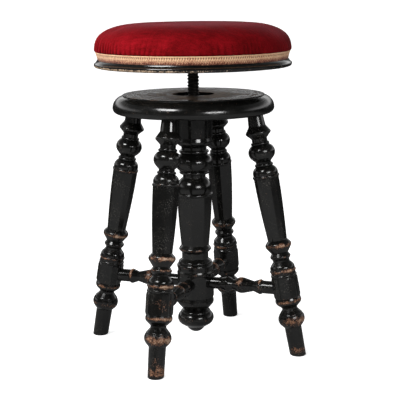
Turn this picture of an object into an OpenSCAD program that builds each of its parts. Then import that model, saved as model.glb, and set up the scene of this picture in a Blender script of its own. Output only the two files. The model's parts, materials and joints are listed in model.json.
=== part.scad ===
/* [Stand] */
// Radius of the platform at the widest part of its rounded edge
platform_r = 144; // [130:1:165]
// Thickness of the platform
platform_t = 32; // [28:1:40]
// Height of the platform's underside above the floor
platform_z = 432; // [400:1:480]
// How far in from the platform's edge a leg's axis meets its underside
leg_inset = 29.4; // [24:0.2:36]
// How far out past the platform's edge a leg's axis meets the floor
foot_outreach = 51.5; // [30:0.5:80]
// Height of the stretchers' axes above the floor
stretcher_z = 120; // [116:0.5:126]

/* [Platform] */
// Radius of the raised top disc, inside the rounded edge
top_disc_r = 126; // [110:0.5:130]
// Height by which the top disc stands proud of the rounded edge
top_disc_step = 2; // [1:0.1:4]
// Height of the widest part of the edge above the underside
platform_belly = 9; // [6:0.5:12]
// Radius of the recess that takes the nut plate and, when lowered, the flange
recess_r = 37; // [34:0.5:42]
// Depth of the recess
recess_depth = 14; // [12:0.5:16]

/* [Column] */
// Height of the pendant's tip above the floor
pendant_z = 25; // [15:1:32]
// Radius of the sphere that rounds the pendant's tip
tip_r = 17.8; // [14:0.1:22]
// Height of the tip under the pendant ball
tip_h = 10; // [8:0.5:13]
// Radius of the pendant ball
pendant_r = 33; // [28:0.5:38]
// Radius of the arc that the pendant ball is turned to
pendant_round = 13; // [9:0.5:14]
// Rise from the tip to the pendant ball's crest
pendant_rise = 17.5; // [15:0.5:21]
// Radius of the shoulder bead on top of the pendant ball
pendant_shoulder_r = 27.4; // [25:0.1:29]
// Radius of the arc of that shoulder bead
pendant_shoulder_round = 3.4; // [2:0.1:4]
// Rise from the pendant ball's crest to the shoulder bead's crest
pendant_shoulder_rise = 11; // [9:0.1:12]
// Rise from the pendant ball's crest to the neck over it
pendant_drop = 16; // [14:0.5:19]
// Radius of the neck above the pendant ball
pendant_neck_r = 22.2; // [18:0.2:25]
// Radius of the beads that frame the column's block
column_bead_r = 33.4; // [30:0.2:38]
// Radius of the arc of the bead under the block
low_bead_round = 8; // [6:0.5:10]
// Rise from the neck to the crest of the bead under the block
low_bead_rise = 16; // [13:0.5:20]
// Radius to the arrises of the column's octagonal block
column_block_r = 34.3; // [33:0.1:40]
// Height of the column's block
column_block_h = 41; // [36:0.5:46]
// Radius of the arc of the bead on top of the block
first_bead_round = 4.4; // [3:0.1:6]
// Radius of the arc of the bead over that one
second_bead_round = 5.8; // [4:0.1:7]
// Radius of the shoulder bead over those two
column_shoulder_r = 30.6; // [28:0.1:32]
// Radius of the arc of that shoulder bead
column_shoulder_round = 3.6; // [2:0.1:4]
// Rise from the second bead's crest to the shoulder bead's crest
column_shoulder_rise = 6.9; // [6:0.1:8]
// Radius to the arrises of the octagonal neck over the beads
column_neck_r = 24.6; // [22:0.1:26]
// Height of the flare from the second bead's crest to the neck
column_flare_h = 14.5; // [11:0.5:18]
// Height of that neck
column_neck_h = 9.5; // [6:0.5:14]
// Radius of the ring under the octagonal shaft
low_ring_r = 29.2; // [27:0.2:32]
// Radius of the arc of that ring
low_ring_round = 3.5; // [2.5:0.1:5]
// Half the height of that ring with its flanks
low_ring_half = 7.5; // [6:0.5:10]
// Radius to the shaft's arrises at its foot
shaft_foot_r = 25.6; // [24:0.1:29]
// Radius to the shaft's arrises at its head
shaft_head_r = 31.6; // [29:0.1:34]
// Radius of the thin ring over the octagonal shaft
high_ring_r = 33.8; // [32:0.1:37]
// Half the height of that thin ring
high_ring_round = 3.2; // [2.5:0.1:5]
// Radius of the vase over the thin ring
vase_r = 31.8; // [29:0.1:34]
// Radius of the arc that the vase is turned to
vase_round = 24; // [18:0.5:26]
// Height of the vase's crest over its foot
vase_belly = 6.5; // [3:0.5:9]
// Height of the vase
vase_h = 26.4; // [24:0.1:30]
// Radius of the neck under the column's ball
ball_neck_r = 20.5; // [19:0.1:24]
// Height of that neck
ball_neck_h = 6.5; // [3:0.5:9]
// Radius of the neck over the ball
upper_neck_r = 22.6; // [20:0.1:25]
// Height of the neck over the ball
upper_neck_h = 5; // [2:0.5:8]
// Radius of the small beads under and over the ball
ball_bead_r = 26.8; // [24:0.1:29]
// Half the height of such a bead
ball_bead_half = 2.9; // [2:0.1:4]
// Radius of the column's ball
ball_r = 34.4; // [31:0.2:38]
// Radius of the arc that the ball is turned to
ball_round = 17; // [15:0.5:22]
// Drop from the ball's crest to the bead under it
ball_drop = 14.6; // [12:0.1:17]
// Rise from the ball's crest to the bead over it
ball_rise = 17.5; // [14:0.1:20]
// Radius of the plain collar under the platform
collar_r = 33.5; // [31:0.1:36]
// Height of the plain collar
collar_h = 46; // [36:1:54]
// Radius of the arc of the bead under the collar
collar_bead_round = 5; // [3:0.5:7]
// Rise from the ball's neck to that bead's crest
collar_bead_rise = 10.6; // [8:0.1:14]
// Turn of the octagon against the legs, in degrees
column_turn = 9.6; // [0:0.1:22.5]

/* [Legs] */
// Radius of the foot at the floor
foot_r = 14.3; // [12:0.1:16]
// Radius of the foot where it meets the lowest ball
foot_top_r = 15.3; // [13:0.1:17]
// Radius of the foot's worn lower edge
foot_round = 3.6; // [2:0.1:4.5]
// Length of the foot along the leg
foot_len = 53; // [44:0.5:60]
// Radius of the balls
leg_ball_r = 23.6; // [22:0.1:26]
// Radius of the arc that the lowest ball is turned to
low_ball_round = 15; // [12:0.5:17]
// Radius of the shoulder bead on top of the lowest ball
low_shoulder_r = 21; // [19:0.1:22]
// Radius of the arc of that shoulder bead
low_shoulder_round = 3; // [2:0.1:4]
// Rise from the lowest ball's crest to the shoulder bead's crest
low_shoulder_rise = 8; // [6:0.1:10]
// Radius of the arc that the upper ball is turned to
upper_ball_round = 15; // [13:0.5:18]
// Drop from the upper ball's crest to the neck under it
upper_ball_drop = 16.5; // [14:0.5:19]
// Rise from the upper ball's crest to the bead over it
upper_ball_rise = 13; // [11:0.5:15]
// Radius of the small beads over the vase and over the upper ball
leg_shoulder_r = 16.4; // [15.5:0.1:18]
// Half the height of such a bead
leg_shoulder_half = 2.8; // [1.5:0.1:3.5]
// Radius of the thin necks
leg_neck_r = 13.6; // [12:0.1:15]
// Length of a thin neck
leg_neck_len = 6; // [4:0.5:8]
// Radius of the beads and rings that frame block and shaft
leg_bead_r = 23.3; // [22:0.1:26]
// Rise from the neck to the crest of the bead under the block
leg_bead_rise = 12.8; // [11:0.1:16]
// Radius of the arc of the bead under the block
leg_bead_round = 8.5; // [6:0.5:10]
// Radius to the arrises of the block
leg_block_r = 24.2; // [23:0.1:27]
// Length of the block
leg_block_len = 38; // [36:0.5:44]
// Angle across each wide flat of block and shaft, in degrees
wide_flat_angle = 61; // [50:1:70]
// Radius of the arc of the bead on top of the block
block_bead_round = 2.6; // [2:0.1:3.4]
// Rise from the block to the crest of the ring over that bead
leg_collar_rise = 11.5; // [10:0.5:14]
// Radius of the arc of the rings over the block and near the top
leg_collar_round = 3.2; // [2.5:0.1:5]
// Radius of the bell over that ring
leg_bell_r = 22; // [20:0.1:23]
// Radius of the arc that the bell is turned to
leg_bell_round = 9; // [6:0.5:11]
// Length from the ring's crest over the bell to the neck
leg_flare_len = 16.5; // [13:0.5:22]
// Radius of the neck over the bell
leg_mid_neck_r = 14.8; // [13:0.1:16]
// Radius of the small ring on that neck
leg_small_ring_r = 18.3; // [17:0.1:20]
// Half the height of the small ring with its flanks
leg_small_ring_half = 6; // [4:0.5:8]
// Length of plain neck under the small ring
leg_mid_neck_len = 3; // [1:0.5:6]
// Rise from the small ring to the crest of the large ring
leg_ring_rise = 14.8; // [12:0.1:18]
// Rise from the large ring's crest to the shaft
leg_ring_drop = 9; // [7:0.5:12]
// Radius of the arc of the large ring
leg_ring_round = 6.5; // [4:0.5:8]
// Radius to the shaft's arrises at its foot
leg_shaft_foot_r = 17.3; // [15:0.1:19]
// Radius to the shaft's arrises at its head
leg_shaft_head_r = 22.6; // [20:0.1:24]
// Radius of the thin ring over the shaft
leg_fillet_r = 23.7; // [22:0.1:26]
// Half the height of the thin ring
leg_fillet_round = 3; // [2:0.5:4]
// Radius of the vase over the thin ring
leg_vase_r = 22.3; // [20:0.1:24]
// Radius of the arc that the vase is turned to
leg_vase_round = 14; // [12:0.5:17]
// Height of the vase's crest over its foot
leg_vase_belly = 3; // [1:0.5:5]
// Height of the vase, up to the small bead
leg_vase_h = 15.2; // [13:0.1:19]
// Radius of the sharp ring near the top
top_collar_r = 22.4; // [19:0.1:25]
// Rise from the neck to the sharp ring's crest
top_collar_rise = 10.4; // [9:0.1:15]
// Rise from the sharp ring's crest to the top neck
top_collar_drop = 11.8; // [9:0.1:15]
// Radius of the top neck, over the sharp ring
top_neck_r = 15.2; // [13:0.1:17]
// Radius of the top neck where it meets the platform
leg_head_r = 13.4; // [11.5:0.1:15]
// Length of the top neck
top_neck_len = 22; // [16:0.5:28]
// Turn of the back leg about its own axis, in degrees
back_leg_turn = -38; // [-45:1:45]

/* [Stretchers] */
// Radius of the plain end at the column
stretcher_r = 10.7; // [9:0.1:12]
// Radius of the plain end at the leg
stretcher_end_r = 11.6; // [9:0.1:12]
// Length of plain end that shows at the column
stretcher_plain_len = 20; // [14:0.5:24]
// Radius of the ball next to the plain end
stretcher_ball_r = 13.7; // [12:0.1:15]
// Radius of the arc that the ball is turned to
stretcher_ball_round = 8.5; // [6:0.5:10]
// Half the length of the ball with its flanks
stretcher_ball_half = 11; // [9:0.5:13]
// Radius of the egg-shaped swelling
egg_r = 14.4; // [12.5:0.1:16]
// Radius of the arc that the egg is turned to
egg_round = 18; // [14:0.5:20]
// Length of the egg's blunt end, from the thin neck to its crest
egg_blunt_len = 16; // [13:0.5:19]
// Length of the egg's long end, from its crest to the next neck
egg_long_len = 23; // [20:0.5:27]
// Radius of the thin necks at the egg's ends
stretcher_neck_r = 9.2; // [8:0.1:10.5]
// Radius of the ring next to the plain outer end
stretcher_ring_r = 13.6; // [12:0.1:15]
// Radius of the arc of that ring
stretcher_ring_round = 4; // [3:0.5:6]
// Length from the neck to the ring's crest
stretcher_ring_rise = 12.5; // [9:0.5:15]

/* [Screw] */
// Outer radius of the spindle's thread
thread_r = 10.5; // [9.5:0.1:11.5]
// Depth of the thread
thread_depth = 1.5; // [1:0.1:1.8]
// Rise of the seat in one turn
thread_pitch = 6; // [5:0.25:7]
// Width of the thread's crest along the spindle
crest_w = 2; // [1.4:0.1:2.2]
// Width of each sloping flank along the spindle
flank_w = 1.2; // [0.9:0.1:1.4]
// Turns that lower the seat from the pose as drawn to its lowest
turns_down = 8; // [4:1:9]
// Turns that raise the seat from the pose as drawn to its highest
turns_up = 8; // [4:1:9]
// Radial clearance between spindle and nut
thread_play = 0.3; // [0.25:0.05:0.4]
// Gap between seat board and platform at the lowest pose
lowest_gap = 1.5; // [1:0.1:4]

/* [Iron fittings] */
// Thickness of the nut plate
nut_plate_t = 5; // [4:0.5:6]
// Outer radius of the nut's hub
nut_hub_r = 15; // [14:0.1:16]
// Length of the nut's hub below its plate
nut_hub_h = 25; // [20:1:30]
// Radius of the flange under the seat board
flange_r = 35; // [32:0.5:36]
// Thickness of the flange
flange_t = 5; // [4:0.5:5.5]
// Radius of the flange's hub
flange_hub_r = 16; // [13:0.5:18]
// Height of the flange's hub below its plate
flange_hub_h = 4; // [2:0.5:4]
// Radius of the spindle's end in the flange
spindle_head_r = 8.6; // [7.5:0.1:8.8]
// Radius of the spindle's lower end, under the thread
spindle_tail_r = 7; // [6:0.1:7.5]
// Thickness of the loose stop washer
washer_t = 2.5; // [1.5:0.1:3.5]
// Outer radius of the stop washer
washer_r = 11.4; // [10.8:0.1:11.5]
// Radius of the stop pin through the spindle's lower end
stop_pin_r = 1.5; // [1:0.1:2]
// Length of the stop pin
stop_pin_len = 20; // [17:0.5:21]
// Radius of a wood screw's head
screw_head_r = 4.2; // [3.5:0.1:4.5]
// Radius of a wood screw's shank
screw_r = 2; // [1.5:0.1:2.2]
// Length of a nut plate screw
nut_screw_len = 17; // [12:0.5:18]
// Length of a flange screw
flange_screw_len = 16; // [10:0.5:18]
// Number of screws in the nut plate
nut_screws_n = 3; // [3:1:4]
// Number of screws in the flange
flange_screws_n = 4; // [3:1:6]

/* [Seat board] */
// Radius of the seat board's lip
board_r = 175; // [160:1:190]
// Thickness of the seat board
board_t = 20.5; // [18.5:0.5:26]
// Height of the edge moulding, from the underside to the rebate
moulding_h = 12.5; // [11:0.5:14]
// Radius of the round under the lip
lip_round_r = 4.5; // [3:0.1:5]
// Thickness of the lip's upright edge
lip_edge = 1.2; // [0.8:0.1:2.5]
// Radial depth of the hollow over the lip
cove_w = 5.5; // [4:0.1:7]
// Radial depth of the rebate that takes cover and braid
rebate_w = 11.5; // [10:0.1:13]

/* [Cushion] */
// How far the cushion's roll reaches out past the braid
roll_reach = 1.8; // [0.2:0.1:8]
// Rise of the crown over the cushion's widest part
crown_rise = 45; // [36:0.5:60]
// Height of the roll that swells out over the braid
roll_h = 3; // [2:0.5:5]
// Thickness of the velvet and its lining
cover_t = 1.5; // [1:0.1:1.8]
// Width of the gimp braid
braid_w = 14.6; // [12:0.2:16]
// Thickness of the braid
braid_t = 1.8; // [1.2:0.1:2.6]
// How far the braid's top edge leans out over its foot
braid_lean = 4.8; // [3:0.1:5.5]
// Number of tacks under the braid
tacks_n = 24; // [16:1:36]
// Radius of a tack's head
tack_head_r = 2.4; // [1.5:0.1:2.6]

/* [Hidden] */

// Fineness of round shapes, and points to a turn of the thread
$fn = 72;
thread_steps = 24;
// Overrun of a cut past the face that it opens
over = 1;
// Clearance round a peg in its hole, at a peg's end, and between faces laid together
peg_gap = 0.1;
end_gap = 0.6;
face_gap = 0.2;
// Clearance round a metal piece let into the wood
let_in_gap = 0.3;
// How far pegs and tenons reach into their holes
leg_tenon_len = 21;
leg_tenon_r = 10.8;
leg_tenon_root = 6;
column_tenon_r = 22;
stretcher_peg_len = 10;
// Width and depth of the fine grooves that set off beads
groove = 1.4;
// How far a block's corners are eased at its ends, across and along
block_ease_w = 1.4;
block_ease_h = 4;
// Number of straight stages that the swelling of a shaft is drawn in
shaft_stages = 7;

ebony = [0.05, 0.05, 0.055];
worn_black = [0.12, 0.09, 0.07];
iron = [0.2, 0.19, 0.18];
velvet = [0.5, 0.03, 0.07];
peach = [0.82, 0.6, 0.42];
fibre = [0.6, 0.5, 0.36];
brass = [0.7, 0.55, 0.3];

// Ground plan
leg_top_circle_r = platform_r - leg_inset;
foot_circle_r = platform_r + foot_outreach;
leg_rake = atan((foot_circle_r - leg_top_circle_r) / platform_z);
leg_len = platform_z / cos(leg_rake);
leg_angles = [270, 0, 90, 180];

// Platform
platform_top = platform_z + platform_t;
edge_top = platform_top - top_disc_step;
recess_floor = platform_top - recess_depth;
edge_drop = platform_r - top_disc_r;
edge_belly_z = platform_z + platform_belly;
edge_rise = edge_top - edge_belly_z;
edge_r = (pow(edge_drop, 2) + pow(edge_rise, 2)) / (2 * edge_drop);

// Column, from the pendant's tip up to the shaft, and from the platform down to it
pendant_foot_z = pendant_z + tip_h;
pendant_crest_z = pendant_foot_z + pendant_rise;
pendant_shoulder_z = pendant_crest_z + pendant_shoulder_rise;
pendant_crease_z = pendant_shoulder_z - pendant_shoulder_round / 2;
pendant_neck_z = pendant_crest_z + pendant_drop;
low_bead_z = pendant_neck_z + low_bead_rise;
block_z = low_bead_z + low_bead_round;
block_top = block_z + column_block_h;
first_bead_z = block_top + first_bead_round;
second_bead_z = first_bead_z + first_bead_round + groove + second_bead_round + groove;
column_shoulder_z = second_bead_z + column_shoulder_rise;
column_crease_z = second_bead_z + second_bead_round - groove;
neck_flat_r = column_neck_r * cos(180 / 8);
neck_z = second_bead_z + column_flare_h;
low_ring_z = neck_z + column_neck_h + low_ring_half;
shaft_z = low_ring_z + low_ring_half;
collar_z = platform_z - collar_h;
collar_bead_z = collar_z - collar_bead_round - groove;
upper_neck_z = collar_bead_z - collar_bead_rise;
over_ball_z = upper_neck_z - upper_neck_h - ball_bead_half;
ball_z = over_ball_z - ball_bead_half - ball_rise;
under_ball_z = ball_z - ball_drop - ball_bead_half;
vase_top = under_ball_z - ball_bead_half - ball_neck_h;
vase_z = vase_top - vase_h;
high_ring_z = vase_z - high_ring_round - groove / 2;
shaft_top = high_ring_z - high_ring_round;
block_flat_r = column_block_r * cos(180 / 8);

// Leg, from the foot up to the shaft, and from the platform down to it
foot_lean = foot_round * tan(leg_rake);
low_ball_s = foot_len + low_ball_round;
low_shoulder_s = low_ball_s + low_shoulder_rise;
low_crease_s = low_shoulder_s - low_shoulder_round / 2;
low_neck_s = low_ball_s + low_ball_round + leg_neck_len;
leg_bead_s = low_neck_s + leg_bead_rise;
leg_block_s = leg_bead_s + leg_bead_round / 2 + groove;
leg_block_top = leg_block_s + leg_block_len;
block_bead_s = leg_block_top + block_bead_round;
leg_collar_s = leg_block_top + leg_collar_rise;
leg_bell_s = leg_collar_s + leg_bell_round / 2;
mid_neck_s = leg_collar_s + leg_flare_len;
small_ring_s = mid_neck_s + leg_mid_neck_len + leg_small_ring_half;
leg_ring_s = small_ring_s + leg_small_ring_half + leg_ring_rise;
leg_shaft_s = leg_ring_s + leg_ring_drop;
top_neck_s = leg_len - top_neck_len;
top_collar_s = top_neck_s - top_collar_drop;
upper_neck_s = top_collar_s - top_collar_rise;
upper_bead_s = upper_neck_s - leg_neck_len - leg_shoulder_half;
upper_ball_s = upper_bead_s - leg_shoulder_half - upper_ball_rise;
vase_neck_s = upper_ball_s - upper_ball_drop;
vase_bead_s = vase_neck_s - leg_neck_len / 2 - leg_shoulder_half;
leg_vase_s = vase_bead_s - leg_shoulder_half - leg_vase_h;
leg_fillet_s = leg_vase_s - leg_fillet_round;
leg_shaft_top = leg_fillet_s - leg_fillet_round;
wide_flat_r = leg_block_r * cos(wide_flat_angle / 2);

// Where a stretcher's two ends lie, measured from the column's axis
leg_axis_r = foot_circle_r - stretcher_z * tan(leg_rake);
leg_face_r = leg_axis_r - wide_flat_r / cos(leg_rake);
stretcher_in = block_flat_r - stretcher_peg_len;
stretcher_out = leg_face_r + stretcher_peg_len;
stretcher_ball_x = block_flat_r + stretcher_plain_len + stretcher_ball_half;
egg_foot_x = stretcher_ball_x + stretcher_ball_half;
egg_x = egg_foot_x + egg_blunt_len;
egg_end_x = egg_x + egg_long_len;
stretcher_ring_x = egg_end_x + stretcher_ring_rise;

// Heights of nut, spindle and seat
travel_down = turns_down * thread_pitch;
travel_up = turns_up * thread_pitch;
board_z = platform_top + lowest_gap + travel_down;
thread_root_r = thread_r - thread_depth;
nut_top = recess_floor + nut_plate_t;
nut_bottom = recess_floor - nut_hub_h;
thread_top = board_z - flange_t - flange_hub_h;
thread_bottom = nut_bottom - travel_up - face_gap;
washer_z = thread_bottom - washer_t - face_gap;
stop_pin_z = washer_z - face_gap - stop_pin_r;
spindle_bottom = stop_pin_z - 3 * stop_pin_r;
bore_r = washer_r + 2 * let_in_gap;
bore_bottom = spindle_bottom - travel_down - 2 * over;
crest_centre_z = thread_bottom + crest_w / 2 + flank_w + face_gap;

// Seat board, cover and braid
rebate_z = board_z + moulding_h;
board_top = board_z + board_t;
rebate_r = board_r - rebate_w;
skirt_r = rebate_r + peg_gap + cover_t;
skirt_z = rebate_z + face_gap;
tack_z = skirt_z + tack_head_r + 2 * face_gap;
tack_head_t = 0.8;
tack_r = 0.7;
tack_len = 8;
braid_foot_r = skirt_r + tack_head_t + 2 * face_gap;
braid_top_z = skirt_z + braid_w;
braid_top_r = braid_foot_r + braid_lean;
waist_r = braid_top_r - face_gap;
cushion_r = braid_top_r + braid_t + roll_reach;
belly_z = braid_top_z + roll_h;

// Powers of the curve that the cushion's crown follows, full at the side and flat on top
side_power_share = 0.33;
crown_power_share = 0.73;
crown_steps = 20;
roll_steps = 4;
nut_screws_r = (recess_r + column_tenon_r) / 2;
flange_screws_r = (flange_r + flange_hub_r) / 2;
screw_head_h = screw_head_r - screw_r;

// The point where a straight line from p touches an arc, on its upper or lower side
function touch(p, centre, round, side) =
    let (turn = acos(min(1, round / norm(p - centre))))
    let (angle = atan2(p.y - centre.y, p.x - centre.x) + side * turn)
    centre + round * [cos(angle), sin(angle)];

// Half a section of a turned swelling between a point below and one above: an arc
// about its crest, and a straight flank from that arc to each point
module swell(crest, round, foot, head) {
    centre = crest - [round, 0];
    intersection() {
        translate(centre) circle(r = round);
        translate([0, foot.y]) square([crest.x + round, head.y - foot.y]);
    }
    polygon([[0, foot.y], foot, touch(foot, centre, round, 1),
        touch(head, centre, round, -1), head, [0, head.y]]);
}

// Half a section of a plain cone or cylinder between two points
module stretch(foot, head) {
    polygon([[0, foot.y], foot, head, [0, head.y]]);
}

// Half a section of the turned column
module column_section() {
    bead_root_r = column_bead_r - groove;
    intersection() {
        translate([0, pendant_z]) square([collar_r + column_block_r, platform_z - pendant_z]);
        union() {
            translate([0, pendant_z + tip_r]) circle(r = tip_r);
            swell([pendant_r, pendant_crest_z], pendant_round,
                [tip_r - groove, pendant_foot_z],
                [pendant_shoulder_r - groove, pendant_crease_z]);
            swell([pendant_shoulder_r, pendant_shoulder_z], pendant_shoulder_round,
                [pendant_shoulder_r - groove, pendant_crease_z],
                [pendant_neck_r, pendant_neck_z]);
            swell([column_bead_r, low_bead_z], low_bead_round,
                [pendant_neck_r, pendant_neck_z], [bead_root_r, block_z]);
            stretch([bead_root_r, block_z], [bead_root_r, second_bead_z]);
            swell([column_bead_r, first_bead_z], first_bead_round,
                [bead_root_r, block_top], [bead_root_r, first_bead_z + first_bead_round]);
            swell([column_bead_r, second_bead_z], second_bead_round,
                [bead_root_r, second_bead_z - second_bead_round],
                [column_shoulder_r - groove, column_crease_z]);
            swell([column_shoulder_r, column_shoulder_z], column_shoulder_round,
                [column_shoulder_r - groove, column_crease_z], [neck_flat_r, neck_z]);
            stretch([neck_flat_r - groove, neck_z], [neck_flat_r - groove, low_ring_z]);
            swell([low_ring_r, low_ring_z], low_ring_round,
                [neck_flat_r, neck_z + column_neck_h], [shaft_foot_r - groove, shaft_z]);
            stretch([shaft_foot_r - groove, shaft_z], [shaft_foot_r - groove, shaft_top]);
            swell([high_ring_r, high_ring_z], high_ring_round,
                [shaft_head_r - groove, shaft_top], [vase_r - groove, vase_z]);
            swell([vase_r, vase_z + vase_belly], vase_round,
                [vase_r - groove, vase_z], [ball_neck_r, vase_top]);
            stretch([ball_neck_r, vase_top], [ball_neck_r, ball_z]);
            swell([ball_bead_r, under_ball_z], ball_bead_half,
                [ball_neck_r, under_ball_z - ball_bead_half],
                [ball_neck_r, under_ball_z + ball_bead_half]);
            swell([ball_r, ball_z], ball_round,
                [ball_neck_r, ball_z - ball_drop], [upper_neck_r, ball_z + ball_rise]);
            swell([ball_bead_r, over_ball_z], ball_bead_half,
                [upper_neck_r, over_ball_z - ball_bead_half],
                [upper_neck_r, over_ball_z + ball_bead_half]);
            stretch([upper_neck_r, ball_z], [upper_neck_r, upper_neck_z]);
            swell([collar_r, collar_bead_z], collar_bead_round,
                [upper_neck_r, upper_neck_z], [collar_r - groove, collar_z]);
            stretch([collar_r - groove, collar_z], [collar_r, collar_z + groove]);
            stretch([collar_r, collar_z + groove], [collar_r, platform_z]);
        }
    }
}

// Half a section of a turned leg, along its own axis from the floor upwards
module leg_section() {
    bead_root_r = leg_bead_r - groove;
    intersection() {
        translate([0, -foot_r]) square([leg_block_r + leg_ball_r, leg_len + 2 * foot_r]);
        union() {
            stretch([foot_r, -foot_r], [foot_r, 0]);
            stretch([foot_r, 0], [foot_top_r, low_ball_s]);
            swell([leg_ball_r, low_ball_s], low_ball_round,
                [foot_top_r, foot_len], [low_shoulder_r - groove, low_crease_s]);
            swell([low_shoulder_r, low_shoulder_s], low_shoulder_round,
                [low_shoulder_r - groove, low_crease_s],
                [leg_neck_r, low_neck_s - leg_neck_len / 2]);
            stretch([leg_neck_r, low_ball_s], [leg_neck_r, low_neck_s]);
            swell([leg_bead_r, leg_bead_s], leg_bead_round,
                [leg_neck_r, low_neck_s], [bead_root_r, leg_block_s]);
            stretch([bead_root_r, leg_block_s], [bead_root_r, leg_collar_s]);
            swell([leg_bead_r, block_bead_s], block_bead_round,
                [bead_root_r, leg_block_top], [bead_root_r, block_bead_s + block_bead_round]);
            swell([leg_bead_r, leg_collar_s], leg_collar_round,
                [bead_root_r, leg_collar_s - leg_collar_round],
                [leg_bell_r - groove, leg_collar_s + leg_collar_round]);
            swell([leg_bell_r, leg_bell_s], leg_bell_round,
                [leg_bell_r - groove, leg_collar_s], [leg_mid_neck_r, mid_neck_s]);
            stretch([leg_mid_neck_r, mid_neck_s], [leg_mid_neck_r, leg_ring_s - leg_ring_rise]);
            swell([leg_small_ring_r, small_ring_s], leg_collar_round,
                [leg_mid_neck_r, small_ring_s - leg_small_ring_half],
                [leg_mid_neck_r, small_ring_s + leg_small_ring_half]);
            swell([leg_bead_r, leg_ring_s], leg_ring_round,
                [leg_mid_neck_r, leg_ring_s - leg_ring_rise], [leg_shaft_foot_r, leg_shaft_s]);
            stretch([leg_shaft_foot_r - groove, leg_shaft_s],
                [leg_shaft_foot_r - groove, leg_shaft_top]);
            swell([leg_fillet_r, leg_fillet_s], leg_fillet_round,
                [leg_shaft_head_r - groove, leg_shaft_top], [leg_vase_r - groove, leg_vase_s]);
            swell([leg_vase_r, leg_vase_s + leg_vase_belly], leg_vase_round,
                [leg_vase_r - groove, leg_vase_s], [leg_neck_r, leg_vase_s + leg_vase_h]);
            stretch([leg_neck_r, leg_vase_s + leg_vase_h], [leg_neck_r, upper_neck_s]);
            for (s = [vase_bead_s, upper_bead_s])
                swell([leg_shoulder_r, s], leg_shoulder_half,
                    [leg_neck_r, s - leg_shoulder_half], [leg_neck_r, s + leg_shoulder_half]);
            swell([leg_ball_r, upper_ball_s], upper_ball_round,
                [leg_neck_r, vase_neck_s], [leg_neck_r, upper_ball_s + upper_ball_rise]);
            swell([top_collar_r, top_collar_s], leg_collar_round,
                [leg_neck_r, upper_neck_s], [top_neck_r, top_neck_s]);
            stretch([top_neck_r, top_neck_s], [leg_head_r, leg_len]);
            stretch([leg_head_r, leg_len], [leg_head_r, leg_len + foot_r]);
        }
    }
}

// Half a section of a turned stretcher, along its own axis from the column outwards
module stretcher_section() {
    intersection() {
        translate([0, stretcher_in]) square([egg_r + stretcher_r, stretcher_out - stretcher_in]);
        union() {
            stretch([stretcher_r, stretcher_in], [stretcher_r, stretcher_ball_x]);
            swell([stretcher_ball_r, stretcher_ball_x], stretcher_ball_round,
                [stretcher_r, stretcher_ball_x - stretcher_ball_half], [stretcher_neck_r, egg_foot_x]);
            swell([egg_r, egg_x], egg_round,
                [stretcher_neck_r, egg_foot_x], [stretcher_neck_r, egg_end_x]);
            swell([stretcher_ring_r, stretcher_ring_x], stretcher_ring_round,
                [stretcher_neck_r, egg_end_x],
                [stretcher_end_r, stretcher_ring_x + stretcher_ring_round]);
            stretch([stretcher_end_r, stretcher_ring_x], [stretcher_end_r, stretcher_out]);
        }
    }
}

// Corners, as angles, of an octagon with four wide and four narrow sides
function flat_corners(wide) =
    [for (k = [0:3]) each [90 * k - wide / 2, 90 * k + wide / 2]];

// A shaft with eight flats that swells from foot to head in a sine curve
module flat_shaft(foot, head, len, corners) {
    rings = [for (k = [0:shaft_stages]) let (t = k / shaft_stages)
        [foot + (head - foot) * sin(90 * t), len * t]];
    points = [for (ring = rings) for (a = corners)
        [ring[0] * cos(a), ring[0] * sin(a), ring[1]]];
    n = len(corners);
    sides = [for (k = [0:shaft_stages - 1]) for (i = [0:n - 1]) let (j = (i + 1) % n)
        [k * n + i, (k + 1) * n + i, (k + 1) * n + j, k * n + j]];
    polyhedron(points, concat(
        [[for (i = [0:n - 1]) i]],
        [[for (i = [n - 1:-1:0]) shaft_stages * n + i]],
        sides), convexity = 4);
}

// A block turned round with eased ends, then planed to eight flats
module flat_block(r, len, corners) {
    intersection() {
        linear_extrude(height = len)
            polygon([for (a = corners) [r * cos(a), r * sin(a)]]);
        rotate_extrude() polygon([[0, 0],
            [r - block_ease_w, 0],
            [r, block_ease_h],
            [r, len - block_ease_h],
            [r - block_ease_w, len],
            [0, len]]);
    }
}

// Puts what is drawn along a leg's axis in that leg's place
module along_leg(angle) {
    rotate([0, 0, angle]) translate([foot_circle_r, 0, 0]) rotate([0, -leg_rake, 0]) children();
}

// Puts what is drawn along +Z in a stretcher's place
module along_stretcher(angle) {
    translate([0, 0, stretcher_z]) rotate([0, 0, angle]) rotate([0, 90, 0]) children();
}

// Places children evenly on a circle
module on_circle(n, r) {
    for (k = [0:n - 1]) rotate([0, 0, 360 * k / n]) translate([r, 0, 0]) children();
}

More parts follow.
